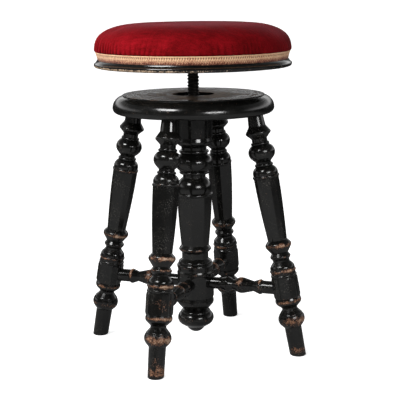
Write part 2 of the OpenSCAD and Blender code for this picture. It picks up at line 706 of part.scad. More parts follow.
// A screw thread as one closed solid: root and crest radius, crest width along
// the axis, height of the first crest, number of turns, and the two ends' heights
module thread(root, crest, crest_width, first, turns, bottom, top) {
    n = thread_steps;
    last = turns * n;
    half = crest_width / 2 + flank_w * (crest - root) / thread_depth;
    rows = [-half, -crest_width / 2, crest_width / 2, half];
    fade = function(i) min(1, 2 * i / n, 2 * (last - i) / n);
    function at(r, i, z) = [r * cos(360 * i / n), r * sin(360 * i / n), z];
    points = concat(
        [for (i = [0:last]) for (m = [0:3])
            at(root + (m % 3 == 0 ? 0 : (crest - root) * fade(i)), i,
                first + thread_pitch * i / n + rows[m])],
        [for (i = [0:n - 1]) at(root, i, bottom)],
        [for (i = [0:n - 1]) at(root, i, top)]);
    function p(i, m) = 4 * i + m;
    function low(i) = 4 * (last + 1) + i % n;
    function high(i) = 4 * (last + 1) + n + i % n;
    function quad(a, b, c, d) = [[a, b, c], [a, c, d]];
    ridge = [for (i = [0:last - 1]) for (m = [0:2])
        each quad(p(i, m), p(i, m + 1), p(i + 1, m + 1), p(i + 1, m))];
    root_land = [for (i = [0:last - n - 1])
        each quad(p(i, 3), p(i + n, 0), p(i + 1 + n, 0), p(i + 1, 3))];
    foot = [for (i = [0:n - 2]) each quad(low(i), p(i, 0), p(i + 1, 0), low(i + 1))];
    foot_seam = [[p(n - 1, 0), low(0), low(n - 1)], [p(n - 1, 0), p(0, 0), low(0)],
        for (m = [0:2]) [p(n - 1, 0), p(0, m + 1), p(0, m)],
        [p(n - 1, 0), p(n, 0), p(0, 3)]];
    s = last - n;
    head = [for (i = [s + 1:last - 1]) each quad(p(i, 3), high(i), high(i + 1), p(i + 1, 3))];
    head_seam = [[p(s + 1, 3), high(s), high(s + 1)], [p(s + 1, 3), p(last, 3), high(s)],
        for (m = [0:2]) [p(s + 1, 3), p(last, m), p(last, m + 1)],
        [p(s + 1, 3), p(s, 3), p(last, 0)]];
    polyhedron(points, concat(ridge, root_land, foot, foot_seam, head, head_seam,
        [[for (i = [0:n - 1]) low(i)]], [[for (i = [n - 1:-1:0]) high(i)]]), convexity = 6);
}

// A countersunk wood screw, point down, its head's top at zero
module wood_screw(len) {
    difference() {
        union() {
            translate([0, 0, -screw_head_h]) cylinder(h = screw_head_h, r1 = screw_r, r2 = screw_head_r);
            translate([0, 0, -len + 2 * screw_r]) cylinder(h = len - 2 * screw_r, r = screw_r);
            translate([0, 0, -len]) cylinder(h = 2 * screw_r, r1 = 0, r2 = screw_r);
        }
        translate([-screw_head_r - over, -screw_r / 5, -screw_r / 2])
            cube([2 * screw_head_r + 2 * over, 2 * screw_r / 5, screw_r]);
    }
}

// The hole for such a screw through metal, with its countersink
module screw_hole(len) {
    translate([0, 0, -len]) cylinder(h = len + over, r = screw_r + peg_gap);
    translate([0, 0, -screw_head_h]) cylinder(h = screw_head_h + peg_gap,
        r1 = screw_r + peg_gap, r2 = screw_head_r + 2 * peg_gap);
}

module platform() {
    color(worn_black) difference() {
        rotate_extrude() union() {
            intersection() {
                translate([platform_r - edge_r, edge_belly_z]) circle(r = edge_r);
                translate([0, edge_belly_z]) square([platform_r, edge_rise]);
            }
            intersection() {
                translate([platform_r - platform_belly, edge_belly_z]) circle(r = platform_belly);
                translate([0, platform_z]) square([platform_r, platform_belly]);
            }
            translate([0, platform_z]) square([platform_r - platform_belly, platform_belly]);
            translate([0, platform_z]) square([platform_r - edge_r, edge_top - platform_z]);
            translate([0, edge_top - over]) square([top_disc_r, top_disc_step + over]);
        }
        translate([0, 0, recess_floor]) cylinder(h = recess_depth + over, r = recess_r);
        translate([0, 0, platform_z - over])
            cylinder(h = platform_t, r = column_tenon_r + peg_gap);
        for (angle = leg_angles) along_leg(angle)
            translate([0, 0, leg_len - leg_tenon_root])
                cylinder(h = leg_tenon_root + leg_tenon_len + end_gap, r = leg_tenon_r + peg_gap);
        on_circle(nut_screws_n, nut_screws_r)
            translate([0, 0, nut_top - nut_screw_len - end_gap])
                cylinder(h = nut_screw_len, r = screw_r + peg_gap);
    }
}

module column() {
    corners = [for (k = [0:7]) 45 * k + column_turn];
    color(ebony) difference() {
        union() {
            rotate_extrude() column_section();
            translate([0, 0, block_z]) flat_block(column_block_r, column_block_h, corners);
            translate([0, 0, neck_z - groove])
                linear_extrude(height = low_ring_z - neck_z + groove)
                    polygon([for (a = corners) column_neck_r * [cos(a), sin(a)]]);
            translate([0, 0, shaft_z - groove])
                flat_shaft(shaft_foot_r, shaft_head_r, shaft_top - shaft_z + 2 * groove, corners);
            translate([0, 0, platform_z - over])
                cylinder(h = recess_floor - platform_z + over, r = column_tenon_r);
        }
        translate([0, 0, bore_bottom]) cylinder(h = recess_floor - bore_bottom + over, r = bore_r);
        translate([0, 0, nut_bottom - over])
            cylinder(h = nut_hub_h + 2 * over, r = nut_hub_r + let_in_gap);
        for (angle = leg_angles) along_stretcher(angle)
            translate([0, 0, stretcher_in - end_gap])
                cylinder(h = column_block_r, r = stretcher_r + peg_gap);
    }
}

// The ring that wear has taken off round a foot's lower edge, upright on the floor
module foot_edge() {
    round_x = foot_r + foot_lean - foot_round;
    rotate_extrude() difference() {
        translate([round_x, -over]) square([foot_round + over, foot_round + over]);
        translate([round_x, foot_round]) circle(r = foot_round);
    }
}

module leg(angle, turn = 0) {
    corners = flat_corners(wide_flat_angle);
    floor_size = 4 * foot_circle_r;
    color(ebony) difference() {
        union() {
            difference() {
                along_leg(angle) rotate([0, 0, turn]) {
                    rotate_extrude() leg_section();
                    translate([0, 0, leg_block_s]) flat_block(leg_block_r, leg_block_len, corners);
                    translate([0, 0, leg_shaft_s - groove]) flat_shaft(leg_shaft_foot_r,
                        leg_shaft_head_r, leg_shaft_top - leg_shaft_s + 2 * groove, corners);
                }
                translate([-floor_size / 2, -floor_size / 2, -floor_size])
                    cube([floor_size, floor_size, floor_size]);
                translate([-floor_size / 2, -floor_size / 2, platform_z])
                    cube([floor_size, floor_size, floor_size]);
                rotate([0, 0, angle]) translate([foot_circle_r - foot_lean / 2, 0, 0]) foot_edge();
            }
            along_leg(angle) translate([0, 0, leg_len - leg_tenon_root])
                cylinder(h = leg_tenon_root + leg_tenon_len, r = leg_tenon_r);
        }
        along_stretcher(angle) translate([0, 0, leg_face_r - 2 * stretcher_peg_len])
            cylinder(h = 3 * stretcher_peg_len + end_gap, r = stretcher_end_r + peg_gap);
    }
}

module leg_front() { leg(leg_angles[0]); }
module leg_right() { leg(leg_angles[1]); }
module leg_back() { leg(leg_angles[2], back_leg_turn); }
module leg_left() { leg(leg_angles[3]); }

module stretcher(angle) {
    color(ebony) along_stretcher(angle) rotate_extrude() stretcher_section();
}

module stretcher_front() { stretcher(leg_angles[0]); }
module stretcher_right() { stretcher(leg_angles[1]); }
module stretcher_back() { stretcher(leg_angles[2]); }
module stretcher_left() { stretcher(leg_angles[3]); }

module nut_plate() {
    turns = ceil((nut_hub_h + nut_plate_t) / thread_pitch) + 3;
    below = floor((nut_bottom - crest_centre_z) / thread_pitch) - 1;
    first = crest_centre_z + below * thread_pitch;
    color(iron) difference() {
        union() {
            translate([0, 0, recess_floor])
                cylinder(h = nut_plate_t, r = recess_r - let_in_gap);
            translate([0, 0, nut_bottom]) cylinder(h = nut_hub_h + over, r = nut_hub_r);
        }
        thread(thread_root_r + thread_play, thread_r + thread_play,
            crest_w + 2 * thread_play, first, turns,
            first - thread_pitch, first + (turns + 1) * thread_pitch);
        on_circle(nut_screws_n, nut_screws_r) translate([0, 0, nut_top]) screw_hole(nut_screw_len);
    }
}

module nut_plate_screws() {
    color(iron) on_circle(nut_screws_n, nut_screws_r)
        translate([0, 0, nut_top]) wood_screw(nut_screw_len);
}

module stop_washer() {
    color(iron) translate([0, 0, washer_z]) difference() {
        cylinder(h = washer_t, r = washer_r);
        translate([0, 0, -over]) cylinder(h = washer_t + 2 * over, r = spindle_tail_r + let_in_gap);
    }
}

module spindle() {
    turns = floor((thread_top - crest_centre_z - crest_w / 2 - flank_w) / thread_pitch);
    color(iron) difference() {
        union() {
            thread(thread_root_r, thread_r, crest_w, crest_centre_z, turns, thread_bottom, thread_top);
            translate([0, 0, thread_top - over])
                cylinder(h = board_z - thread_top + over, r = spindle_head_r);
            translate([0, 0, spindle_bottom])
                cylinder(h = thread_bottom - spindle_bottom + over, r = spindle_tail_r);
        }
        translate([0, 0, stop_pin_z]) rotate([0, 90, 0])
            cylinder(h = 4 * spindle_tail_r, r = stop_pin_r + peg_gap / 2, center = true);
    }
}

module stop_pin() {
    color(iron) translate([0, 0, stop_pin_z]) rotate([0, 90, 0])
        cylinder(h = stop_pin_len, r = stop_pin_r, center = true);
}

module seat_flange() {
    color(iron) difference() {
        union() {
            translate([0, 0, board_z - flange_t]) cylinder(h = flange_t, r = flange_r);
            translate([0, 0, thread_top]) cylinder(h = flange_hub_h + over, r = flange_hub_r);
        }
        translate([0, 0, thread_top - over])
            cylinder(h = flange_hub_h + flange_t + 2 * over, r = spindle_head_r + peg_gap / 2);
        on_circle(flange_screws_n, flange_screws_r)
            translate([0, 0, board_z - flange_t]) mirror([0, 0, 1]) screw_hole(flange_screw_len);
    }
}

module seat_flange_screws() {
    color(iron) on_circle(flange_screws_n, flange_screws_r)
        translate([0, 0, board_z - flange_t]) mirror([0, 0, 1]) wood_screw(flange_screw_len);
}

module seat_board() {
    lip_x = board_r - lip_round_r;
    cove_z = board_z + lip_round_r + lip_edge;
    cove_h = rebate_z - cove_z;
    color(ebony) difference() {
        rotate_extrude() difference() {
            union() {
                translate([0, board_z]) square([lip_x, moulding_h]);
                translate([lip_x, board_z + lip_round_r]) circle(r = lip_round_r);
                translate([0, board_z + lip_round_r]) square([board_r, lip_edge]);
                polygon([[lip_x, cove_z - lip_edge],
                    [board_r, cove_z],
                    [board_r - cove_w, rebate_z],
                    [lip_x - cove_w, rebate_z]]);
                translate([0, rebate_z - over]) square([rebate_r, board_top - rebate_z + over]);
            }
            translate([board_r + cove_w / 2, rebate_z + cove_h / 3]) circle(r = cove_h + cove_w / 3);
        }
        on_circle(flange_screws_n, flange_screws_r) translate([0, 0, board_z - over])
            cylinder(h = flange_screw_len - flange_t + end_gap + over, r = screw_r + peg_gap);
        on_circle(tacks_n, rebate_r - tack_len) translate([0, 0, tack_z]) rotate([0, 90, 0])
            cylinder(h = 2 * tack_len, r = tack_r + peg_gap);
    }
}

// Half a section of the cushion, drawn in by inset from its outer surface: from the
// skirt out over the braid, round the roll, and up over the crown
module cushion_section(inset, foot) {
    side = cushion_r - inset;
    polygon(concat(
        [[0, foot], [skirt_r - inset, foot], [skirt_r - inset, board_top],
            [waist_r - inset, braid_top_z]],
        [for (k = [1:roll_steps]) let (t = 90 * k / roll_steps)
            [waist_r - inset + (side - waist_r + inset) * sin(t),
                belly_z - roll_h * cos(t)]],
        [for (k = [1:crown_steps]) let (t = 90 * k / crown_steps)
            [k == crown_steps ? 0 : side * pow(cos(t), side_power_share),
                belly_z + (crown_rise - inset) * pow(sin(t), crown_power_share)]]));
}

module stuffing() {
    color(fibre) rotate_extrude() cushion_section(cover_t + face_gap, board_top);
}

module velvet_cover() {
    color(velvet) difference() {
        rotate_extrude() difference() {
            cushion_section(0, skirt_z);
            cushion_section(cover_t, board_top);
            translate([0, skirt_z - over]) square([rebate_r + peg_gap, board_top - skirt_z + 2 * over]);
        }
        on_circle(tacks_n, rebate_r) translate([0, 0, tack_z]) rotate([0, 90, 0])
            cylinder(h = tack_len, r = tack_r + peg_gap);
    }
}

module gimp_braid() {
    color(peach) rotate_extrude() polygon([[braid_foot_r, skirt_z],
        [braid_foot_r + braid_t, skirt_z],
        [braid_top_r + braid_t, braid_top_z],
        [braid_top_r, braid_top_z]]);
}

module cover_tacks() {
    color(brass) on_circle(tacks_n, skirt_r + face_gap) translate([0, 0, tack_z]) rotate([0, 90, 0]) union() {
        cylinder(h = tack_head_t, r1 = tack_head_r, r2 = tack_head_r / 2);
        translate([0, 0, -tack_len]) cylinder(h = tack_len + tack_head_t / 2, r = tack_r);
    }
}

platform();
column();
leg_front();
leg_right();
leg_back();
leg_left();
stretcher_front();
stretcher_right();
stretcher_back();
stretcher_left();
nut_plate();
nut_plate_screws();
stop_washer();
spindle();
stop_pin();
seat_flange();
seat_flange_screws();
seat_board();
stuffing();
velvet_cover();
gimp_braid();
cover_tacks();
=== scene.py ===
import json
import math

import bpy
import numpy as np
from mathutils import Matrix, Vector


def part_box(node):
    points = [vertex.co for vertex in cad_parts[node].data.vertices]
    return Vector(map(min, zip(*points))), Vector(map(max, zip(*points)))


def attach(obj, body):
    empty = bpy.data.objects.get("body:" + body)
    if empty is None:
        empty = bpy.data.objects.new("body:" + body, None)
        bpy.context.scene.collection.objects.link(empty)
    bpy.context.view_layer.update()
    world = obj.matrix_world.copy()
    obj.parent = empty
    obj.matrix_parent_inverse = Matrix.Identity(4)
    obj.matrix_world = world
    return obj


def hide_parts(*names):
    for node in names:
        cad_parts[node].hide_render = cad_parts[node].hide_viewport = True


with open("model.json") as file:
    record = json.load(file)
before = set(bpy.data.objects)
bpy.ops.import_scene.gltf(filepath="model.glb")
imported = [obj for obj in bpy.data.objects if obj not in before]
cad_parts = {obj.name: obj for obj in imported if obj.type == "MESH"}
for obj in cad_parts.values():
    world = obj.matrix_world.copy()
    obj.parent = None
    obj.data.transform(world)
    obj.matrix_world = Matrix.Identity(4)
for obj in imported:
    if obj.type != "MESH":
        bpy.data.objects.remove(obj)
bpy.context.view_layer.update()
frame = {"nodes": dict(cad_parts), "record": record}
nodes = frame["nodes"]
scene = bpy.context.scene
scene.view_settings.view_transform = "Standard"


# The photograph's view: a long lens a little above the seat's height, looking down at
# the stool from the right of its front leg, with the horizon very slightly tilted.
EYE = Vector((0.7204, -1.8936, 0.659))
LOOK = Vector((-0.34477, 0.91970, -0.18790))
EYE_TILT = math.radians(-0.62)
LENS_MM = 102.54
FILM_MM = 36

lens = bpy.data.cameras.new("photograph")
lens.lens = LENS_MM
lens.sensor_width = FILM_MM
lens.clip_start = 0.05
lens.clip_end = 200
camera = bpy.data.objects.new("photograph", lens)
aim = LOOK.to_track_quat("-Z", "Y").to_matrix().to_4x4()
camera.matrix_world = Matrix.Translation(EYE) @ aim @ Matrix.Rotation(EYE_TILT, 4, "Z")
scene.collection.objects.link(camera)
scene.camera = camera


# The studio: a pale floor before a white backdrop, a broad light from the left, and two
# soft boxes that draw the rows of crisp highlights on the turnings. The room is dim, so
# the lacquer looks black, but for a strip low on the backdrop that the platform mirrors.
FLOOR_REACH = 60.0
FLOOR_CORNERS = ((-1, -1), (1, -1), (1, 1), (-1, 1))
FLOOR_GREY = (0.86, 0.86, 0.86, 1.0)
FLOOR_GLOW = 0.72
WHITE = (1, 1, 1, 1)
# The grey that the lacquer mirrors of the floor, this side of the stool and behind it,
# and how far beyond the stool's middle, in metres, the one starts to fade and the other
# is reached
FLOOR_MIRRORED, FAR_FLOOR_MIRRORED = 0.38, 0.05
FADE_STARTS, FADE_ENDS = -0.1, 0.7
# Light by the sine of the height above the horizon, behind the stool and elsewhere, and
# how squarely a direction faces the camera where the room ends and the backdrop is whole
BACKDROP_STOPS = ((0.0, 0.03), (0.12, 0.06), (0.165, 1.4), (0.24, 1.4), (0.4, 0.2), (1.0, 0.05))
ROOM_STOPS = ((0.0, 0.11), (0.16, 0.10), (0.34, 0.035), (1.0, 0.025))
ROOM_ENDS, BACKDROP_WHOLE = 0.3, -0.1
SIDE_STRENGTH = 3.3
SIDE_SPREAD = math.radians(80)
SIDE_FROM = (-74, 20)
STOOL_MIDDLE = Vector((0, 0, 0.36))
# Each soft box: turn from the camera to its right, height above the horizon, distance,
# width, height and power
SOFT_BOXES = {
    "soft_box_left": (-42, 42, 2.0, 0.80, 0.42, 24),
    "soft_box_right": (29, 19, 2.2, 0.86, 0.36, 18),
}


def give(tree, node, values):
    """Sets inputs of a node. Values pairs each with a number, a colour or the output of
    another node, which is wired to it."""
    for name, value in dict(values).items():
        if isinstance(value, bpy.types.NodeSocket):
            tree.links.new(value, node.inputs[name])
        else:
            node.inputs[name].default_value = value


def add(tree, kind, values=(), **settings):
    """Adds a shader node, with settings for its own options and values for its inputs."""
    made = tree.nodes.new(kind)
    for name, value in settings.items():
        setattr(made, name, value)
    give(tree, made, values)
    return made


def sums(tree, operation, *terms):
    """One Math node, with its terms in order, as its output socket."""
    return add(tree, "ShaderNodeMath", enumerate(terms), operation=operation).outputs[0]


def vectors(tree, operation, *terms):
    """One Vector Math node as its output: a number for a dot product or a length, and a
    vector for the others."""
    made = add(tree, "ShaderNodeVectorMath", enumerate(terms), operation=operation)
    return made.outputs["Value" if operation in ("DOT_PRODUCT", "LENGTH") else "Vector"]


def ranged(tree, value, start, end, low=0.0, high=1.0, **settings):
    """A value that goes from low at start to high at end and stays there beyond them."""
    return add(tree, "ShaderNodeMapRange", {0: value, 1: start, 2: end, 3: low, 4: high},
               **settings).outputs[0]


def graded(tree, value, stops):
    """A Color Ramp over value, 0 to 1, through stops of (place, grey or colour)."""
    made = add(tree, "ShaderNodeValToRGB", {0: value})
    points = made.color_ramp.elements
    while len(points) < len(stops):
        points.new(0.5)
    for point, (place, tone) in zip(points, stops):
        point.position = place
        point.color = (tone, tone, tone, 1.0) if isinstance(tone, float) else (*tone, 1.0)
    return made.outputs[0]


def mixed(tree, share, first, second, **settings):
    """The first of two colours with a share of the second mixed into it."""
    return add(tree, "ShaderNodeMix", {0: share, 6: first, 7: second}, data_type="RGBA",
               **settings).outputs[2]


def new_finish(name):
    """A new material, its node tree and its Principled shader."""
    made = bpy.data.materials.new(name)
    made.use_nodes = True
    return made, made.node_tree, made.node_tree.nodes["Principled BSDF"]


def toward_camera(turn, rise):
    """The unit vector from the stool at a turn, in degrees, to the right of the camera and
    a rise above the horizon."""
    a = math.atan2(EYE.x, -EYE.y) + math.radians(turn)
    e = math.radians(rise)
    return Vector((math.sin(a) * math.cos(e), -math.cos(a) * math.cos(e), math.sin(e)))


world = bpy.data.worlds.new("studio")
world.use_nodes = True
scene.world = world
tree = world.node_tree
tree.nodes.clear()
direction = add(tree, "ShaderNodeTexCoord").outputs["Generated"]
rise = add(tree, "ShaderNodeSeparateXYZ", {0: direction}).outputs[2]
behind = ranged(tree, vectors(tree, "DOT_PRODUCT", direction, toward_camera(0, 0)),
                ROOM_ENDS, BACKDROP_WHOLE)
glow = mixed(tree, behind, graded(tree, rise, ROOM_STOPS), graded(tree, rise, BACKDROP_STOPS))
lit = add(tree, "ShaderNodeBackground", {0: glow})
seen = add(tree, "ShaderNodeBackground", {0: WHITE})
path = add(tree, "ShaderNodeLightPath")
both = add(tree, "ShaderNodeMixShader", {0: path.outputs["Is Camera Ray"],
                                         1: lit.outputs[0], 2: seen.outputs[0]})
add(tree, "ShaderNodeOutputWorld", {0: both.outputs[0]})

side_light = bpy.data.objects.new("side_light", bpy.data.lights.new("side_light", "SUN"))
side_light.data.energy = SIDE_STRENGTH
side_light.data.angle = SIDE_SPREAD
side_light.visible_glossy = False
side_light.rotation_euler = toward_camera(*SIDE_FROM).to_track_quat("Z", "Y").to_euler()
scene.collection.objects.link(side_light)

for name, (turn, lift, distance, width, height, power) in SOFT_BOXES.items():
    box_light = bpy.data.lights.new(name, "AREA")
    box_light.shape = "RECTANGLE"
    box_light.size = width
    box_light.size_y = height
    box_light.energy = power
    soft_box = bpy.data.objects.new(name, box_light)
    soft_box.location = STOOL_MIDDLE + distance * toward_camera(turn, lift)
    soft_box.rotation_euler = toward_camera(turn, lift).to_track_quat("Z", "Y").to_euler()
    scene.collection.objects.link(soft_box)

floor_mesh = bpy.data.meshes.new("floor")
floor_mesh.from_pydata([(x, y, 0) for x, y in FLOOR_REACH * np.array(FLOOR_CORNERS)], [],
                       [(0, 1, 2, 3)])
floor = bpy.data.objects.new("floor", floor_mesh)
scene.collection.objects.link(floor)
floor_paint, tree, look = new_finish("pale_floor")
give(tree, look, {"Base Color": FLOOR_GREY, "Roughness": 0.9, "Specular IOR Level": 0.0,
                  "Emission Color": WHITE, "Emission Strength": FLOOR_GLOW})
# The floor is exposed to white, and only a grey one, darker behind the stool, shows in
# the lacquer
beyond = vectors(tree, "DOT_PRODUCT", add(tree, "ShaderNodeTexCoord").outputs["Object"],
                 -toward_camera(0, 0))
mirrored = add(tree, "ShaderNodeBsdfDiffuse", {"Color": ranged(
    tree, beyond, FADE_STARTS, FADE_ENDS, FLOOR_MIRRORED, FAR_FLOOR_MIRRORED)})
path = add(tree, "ShaderNodeLightPath")
exposed = add(tree, "ShaderNodeMixShader", {0: path.outputs["Is Camera Ray"],
                                            1: mirrored.outputs[0], 2: look.outputs[0]})
give(tree, tree.nodes["Material Output"], {"Surface": exposed.outputs[0]})
floor_mesh.materials.append(floor_paint)


# The legs: turned in beech, planed to eight flats between the rings, stained black and
# lacquered. Shoes have rubbed the lacquer off the rings and balls down to orange-brown
# wood, most of it on the front leg.
LEG_LEN = 0.4395
PLATFORM_R = 0.144
LEG_INSET = 0.0294
# From whole lacquer through stained wood to bare wood
RUBBED_STOPS = ((0.0, (0.0032, 0.0033, 0.0030)), (0.46, (0.0036, 0.0034, 0.003)),
                (0.54, (0.016, 0.009, 0.006)), (0.64, (0.080, 0.031, 0.014)),
                (0.80, (0.20, 0.088, 0.042)), (1.0, (0.42, 0.29, 0.20)))
DUST_COLOUR = (0.075, 0.069, 0.060, 1.0)
# Sizes of the marks, as waves in a metre: the worn patches, their frayed edges, the dulled
# places, the lacquer's soft waves, and the grain, across and along the piece
PATCH_SCALE, FRAY_SCALE, DULL_SCALE, WAVE_SCALE = 95.0, 480.0, 38.0, 110.0
GRAIN_SCALE = (900.0, 900.0, 55.0)
# How much the patches, the frayed edges and the grain move the wear
PATCH_FORCE, FRAY_FORCE, GRAIN_FORCE = 1.2, 1.7, 0.35
# The wear at which wood starts to show and is bare, and the noise at which the dulled
# places, the dusty ones and the specks start and are whole; dust lies thinly elsewhere
BARE_STARTS, BARE_WHOLE = 0.48, 0.6
DULL_STARTS, DULL_WHOLE = 0.35, 0.7
DUSTY_STARTS, DUSTY_WHOLE, THIN_DUST = 0.42, 0.62, 0.05
SPECK_STARTS, SPECK_WHOLE = 0.55, 0.66
# Roughness of the lacquer, of its dulled places and of bare wood, and what dust adds
GLOSSY, DULLED, WOOD_ROUGH, DUST_ROUGH = 0.12, 0.25, 0.48, 0.12
# Shares of the relief: the lacquer's thickness, its soft waves and the bare wood's grain
LACQUER_T, WAVE_H, GRAIN_H = 0.35, 0.45, 0.25
RELIEF_DEPTH = 0.0006
RESTING_WEAR = 0.06
# The share of the wear that only the more worn side has
SIDE_WEAR = 0.35


def noise(tree, where, scale, detail, turn=0.0, **more):
    """Noise of a scale, in waves in a metre, over places, as its output socket. A scale of
    three numbers draws it out, along axes swung round z by a turn in radians. With a W,
    each W has a noise of its own."""
    if isinstance(scale, tuple):
        where = add(tree, "ShaderNodeMapping", {"Vector": where, "Scale": scale,
                                                "Rotation": (0, 0, turn)}).outputs[0]
        scale = 1.0
    values = {"Vector": where, "Scale": scale, "Detail": detail, **more}
    return add(tree, "ShaderNodeTexNoise", values,
               noise_dimensions="4D" if "W" in more else "3D").outputs[0]


def swing(tree, value, amount):
    """A noise as a change either way: its way from one half, times an amount."""
    return sums(tree, "MULTIPLY_ADD", value, amount, -amount / 2)


def worn_lacquer():
    """A node group: black lacquer over brown wood. Place is the surface point in the
    piece's own turning frame, in metres, with z along its axis. Wear, from 0 to 1, says
    how far the lacquer is rubbed; a coarse noise, different for each Seed, spreads it in
    patches and a fine one frays their edges. Dust, from 0 to 1, says how much lies on it.
    The group puts out the colour, the roughness and a height for a bump."""
    made = bpy.data.node_groups.new("worn lacquer", "ShaderNodeTree")
    for way, name, kind in (("INPUT", "Place", "Vector"), ("INPUT", "Wear", "Float"),
                            ("INPUT", "Seed", "Float"), ("INPUT", "Dust", "Float"),
                            ("OUTPUT", "Color", "Color"), ("OUTPUT", "Roughness", "Float"),
                            ("OUTPUT", "Height", "Float")):
        made.interface.new_socket(name, in_out=way, socket_type="NodeSocket" + kind)
    given = add(made, "NodeGroupInput").outputs
    place = given["Place"]
    patches = noise(made, place, PATCH_SCALE, 1.0, W=given["Seed"])
    frays = noise(made, place, FRAY_SCALE, 3.0, W=given["Seed"], Roughness=0.65)
    grain = noise(made, place, GRAIN_SCALE, 2.0)
    rubbed = sums(made, "ADD", sums(made, "ADD", given["Wear"], swing(made, patches, PATCH_FORCE)),
                  swing(made, frays, FRAY_FORCE))
    # The wood shows its grain where it is bare
    wood = sums(made, "MULTIPLY_ADD", sums(made, "SUBTRACT", grain, 0.5), GRAIN_FORCE, rubbed)
    bare = ranged(made, rubbed, BARE_STARTS, BARE_WHOLE)
    # Old lacquer is nearly mirror smooth, dulled in patches by handling, and grey dust and
    # scuffs lie in those patches as specks
    dull = noise(made, place, DULL_SCALE, 2.0)
    gloss = ranged(made, dull, DULL_STARTS, DULL_WHOLE, GLOSSY, DULLED)
    specks = ranged(made, frays, SPECK_STARTS, SPECK_WHOLE)
    dusty = ranged(made, dull, DUSTY_STARTS, DUSTY_WHOLE, THIN_DUST)
    dust = sums(made, "MULTIPLY", sums(made, "MULTIPLY", specks, dusty), given["Dust"])
    colour = mixed(made, dust, graded(made, wood, RUBBED_STOPS), DUST_COLOUR, blend_type="ADD")
    clean = add(made, "ShaderNodeMix", {0: bare, 2: gloss, 3: WOOD_ROUGH}).outputs[0]
    rough = sums(made, "MULTIPLY_ADD", dust, DUST_ROUGH, clean)
    # The lacquer lies in soft waves and stands a little above the bare wood
    waves = noise(made, place, WAVE_SCALE, 0.0)
    skin = sums(made, "MULTIPLY_ADD", bare, -LACQUER_T, sums(made, "MULTIPLY", waves, WAVE_H))
    height = sums(made, "MULTIPLY_ADD", sums(made, "MULTIPLY", grain, bare), GRAIN_H, skin)
    add(made, "NodeGroupOutput", {"Color": colour, "Roughness": rough, "Height": height})
    return made


lacquer_group = worn_lacquer()


def lacquered(tree, place, wear, seed, dust):
    """The worn lacquer's outputs for a place, a wear, a seed and an amount of dust."""
    return add(tree, "ShaderNodeGroup", {"Place": place, "Wear": wear, "Seed": seed, "Dust": dust},
               node_tree=lacquer_group).outputs


def bumped(tree, height, strength, depth):
    """The surface's normal over a height, at a strength and a depth in metres."""
    return add(tree, "ShaderNodeBump", {"Height": height, "Strength": strength,
                                        "Distance": depth}).outputs[0]


def bands(marks, span):
    """Color Ramp stops over a length span, in metres, from marks of (place, half width,
    wear): the wear rises to its full value at each mark and falls to the resting value."""
    stops = [(0.0, RESTING_WEAR)]
    for place, half, wear in marks:
        stops += [(max(0.0, place - half) / span, RESTING_WEAR), (place / span, wear),
                  (min(span, place + half) / span, RESTING_WEAR)]
    return stops


def facing_side(tree, where, side):
    """How far a place lies to one side of the z axis: the cosine of its turn round the
    axis from the side's angle, in radians."""
    spoke = vectors(tree, "NORMALIZE", vectors(tree, "MULTIPLY", where, (1, 1, 0)))
    return vectors(tree, "DOT_PRODUCT", spoke, (math.cos(side), math.sin(side), 0))


def ebonised(name, place, turn, span, marks, side, seed, dust=0.8):
    """Lacquered turned wood. The material turns Object coordinates into the piece's own
    frame, with z along its axis from place, and wears it at marks along that axis, a
    share of it only towards a side, an angle round the axis in degrees. The seed picks
    its patches, and dust says how much of it lies there."""
    made, tree, look = new_finish(name)
    where = add(tree, "ShaderNodeTexCoord").outputs["Object"]
    own = add(tree, "ShaderNodeMapping", {"Vector": where, "Location": place, "Rotation": turn},
              vector_type="TEXTURE").outputs[0]
    along = add(tree, "ShaderNodeSeparateXYZ", {0: own}).outputs[2]
    worn = graded(tree, sums(tree, "DIVIDE", along, span), bands(marks, span))
    faced = facing_side(tree, own, math.radians(side))
    wear = sums(tree, "MULTIPLY", worn,
                sums(tree, "MULTIPLY_ADD", faced, SIDE_WEAR, 1 - SIDE_WEAR))
    lacquer = lacquered(tree, own, wear, seed, dust)
    give(tree, look, {"Base Color": lacquer["Color"], "Roughness": lacquer["Roughness"],
                      "Normal": bumped(tree, lacquer["Height"], strength=0.25, depth=RELIEF_DEPTH)})
    return made


def dress(node_name, material):
    """Gives a carried-over node its material in every slot."""
    for index in range(len(nodes[node_name].data.materials)):
        nodes[node_name].data.materials[index] = material


foot_r = next(m["pos_m"][0] for m in frame["record"]["mounts"] if m["name"] == "foot_right")
platform_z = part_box("platform")[0].z
rake = math.atan((foot_r - (PLATFORM_R - LEG_INSET)) / platform_z)

# Along each leg from the floor: foot tip, low ball, bead under the block, block's foot,
# middle and head, collar over the block, small ring, big ring, fillet over the shaft and
# top ring
TIP, LOW_BALL, BEAD = 0.006, 0.0650, 0.1018
BLOCK_FOOT, BLOCK_MIDDLE, BLOCK_HEAD = 0.108, 0.126, 0.1465
COLLAR, SMALL_RING, BIG_RING, FILLET, TOP_RING = 0.157, 0.1825, 0.2033, 0.3273, 0.4057
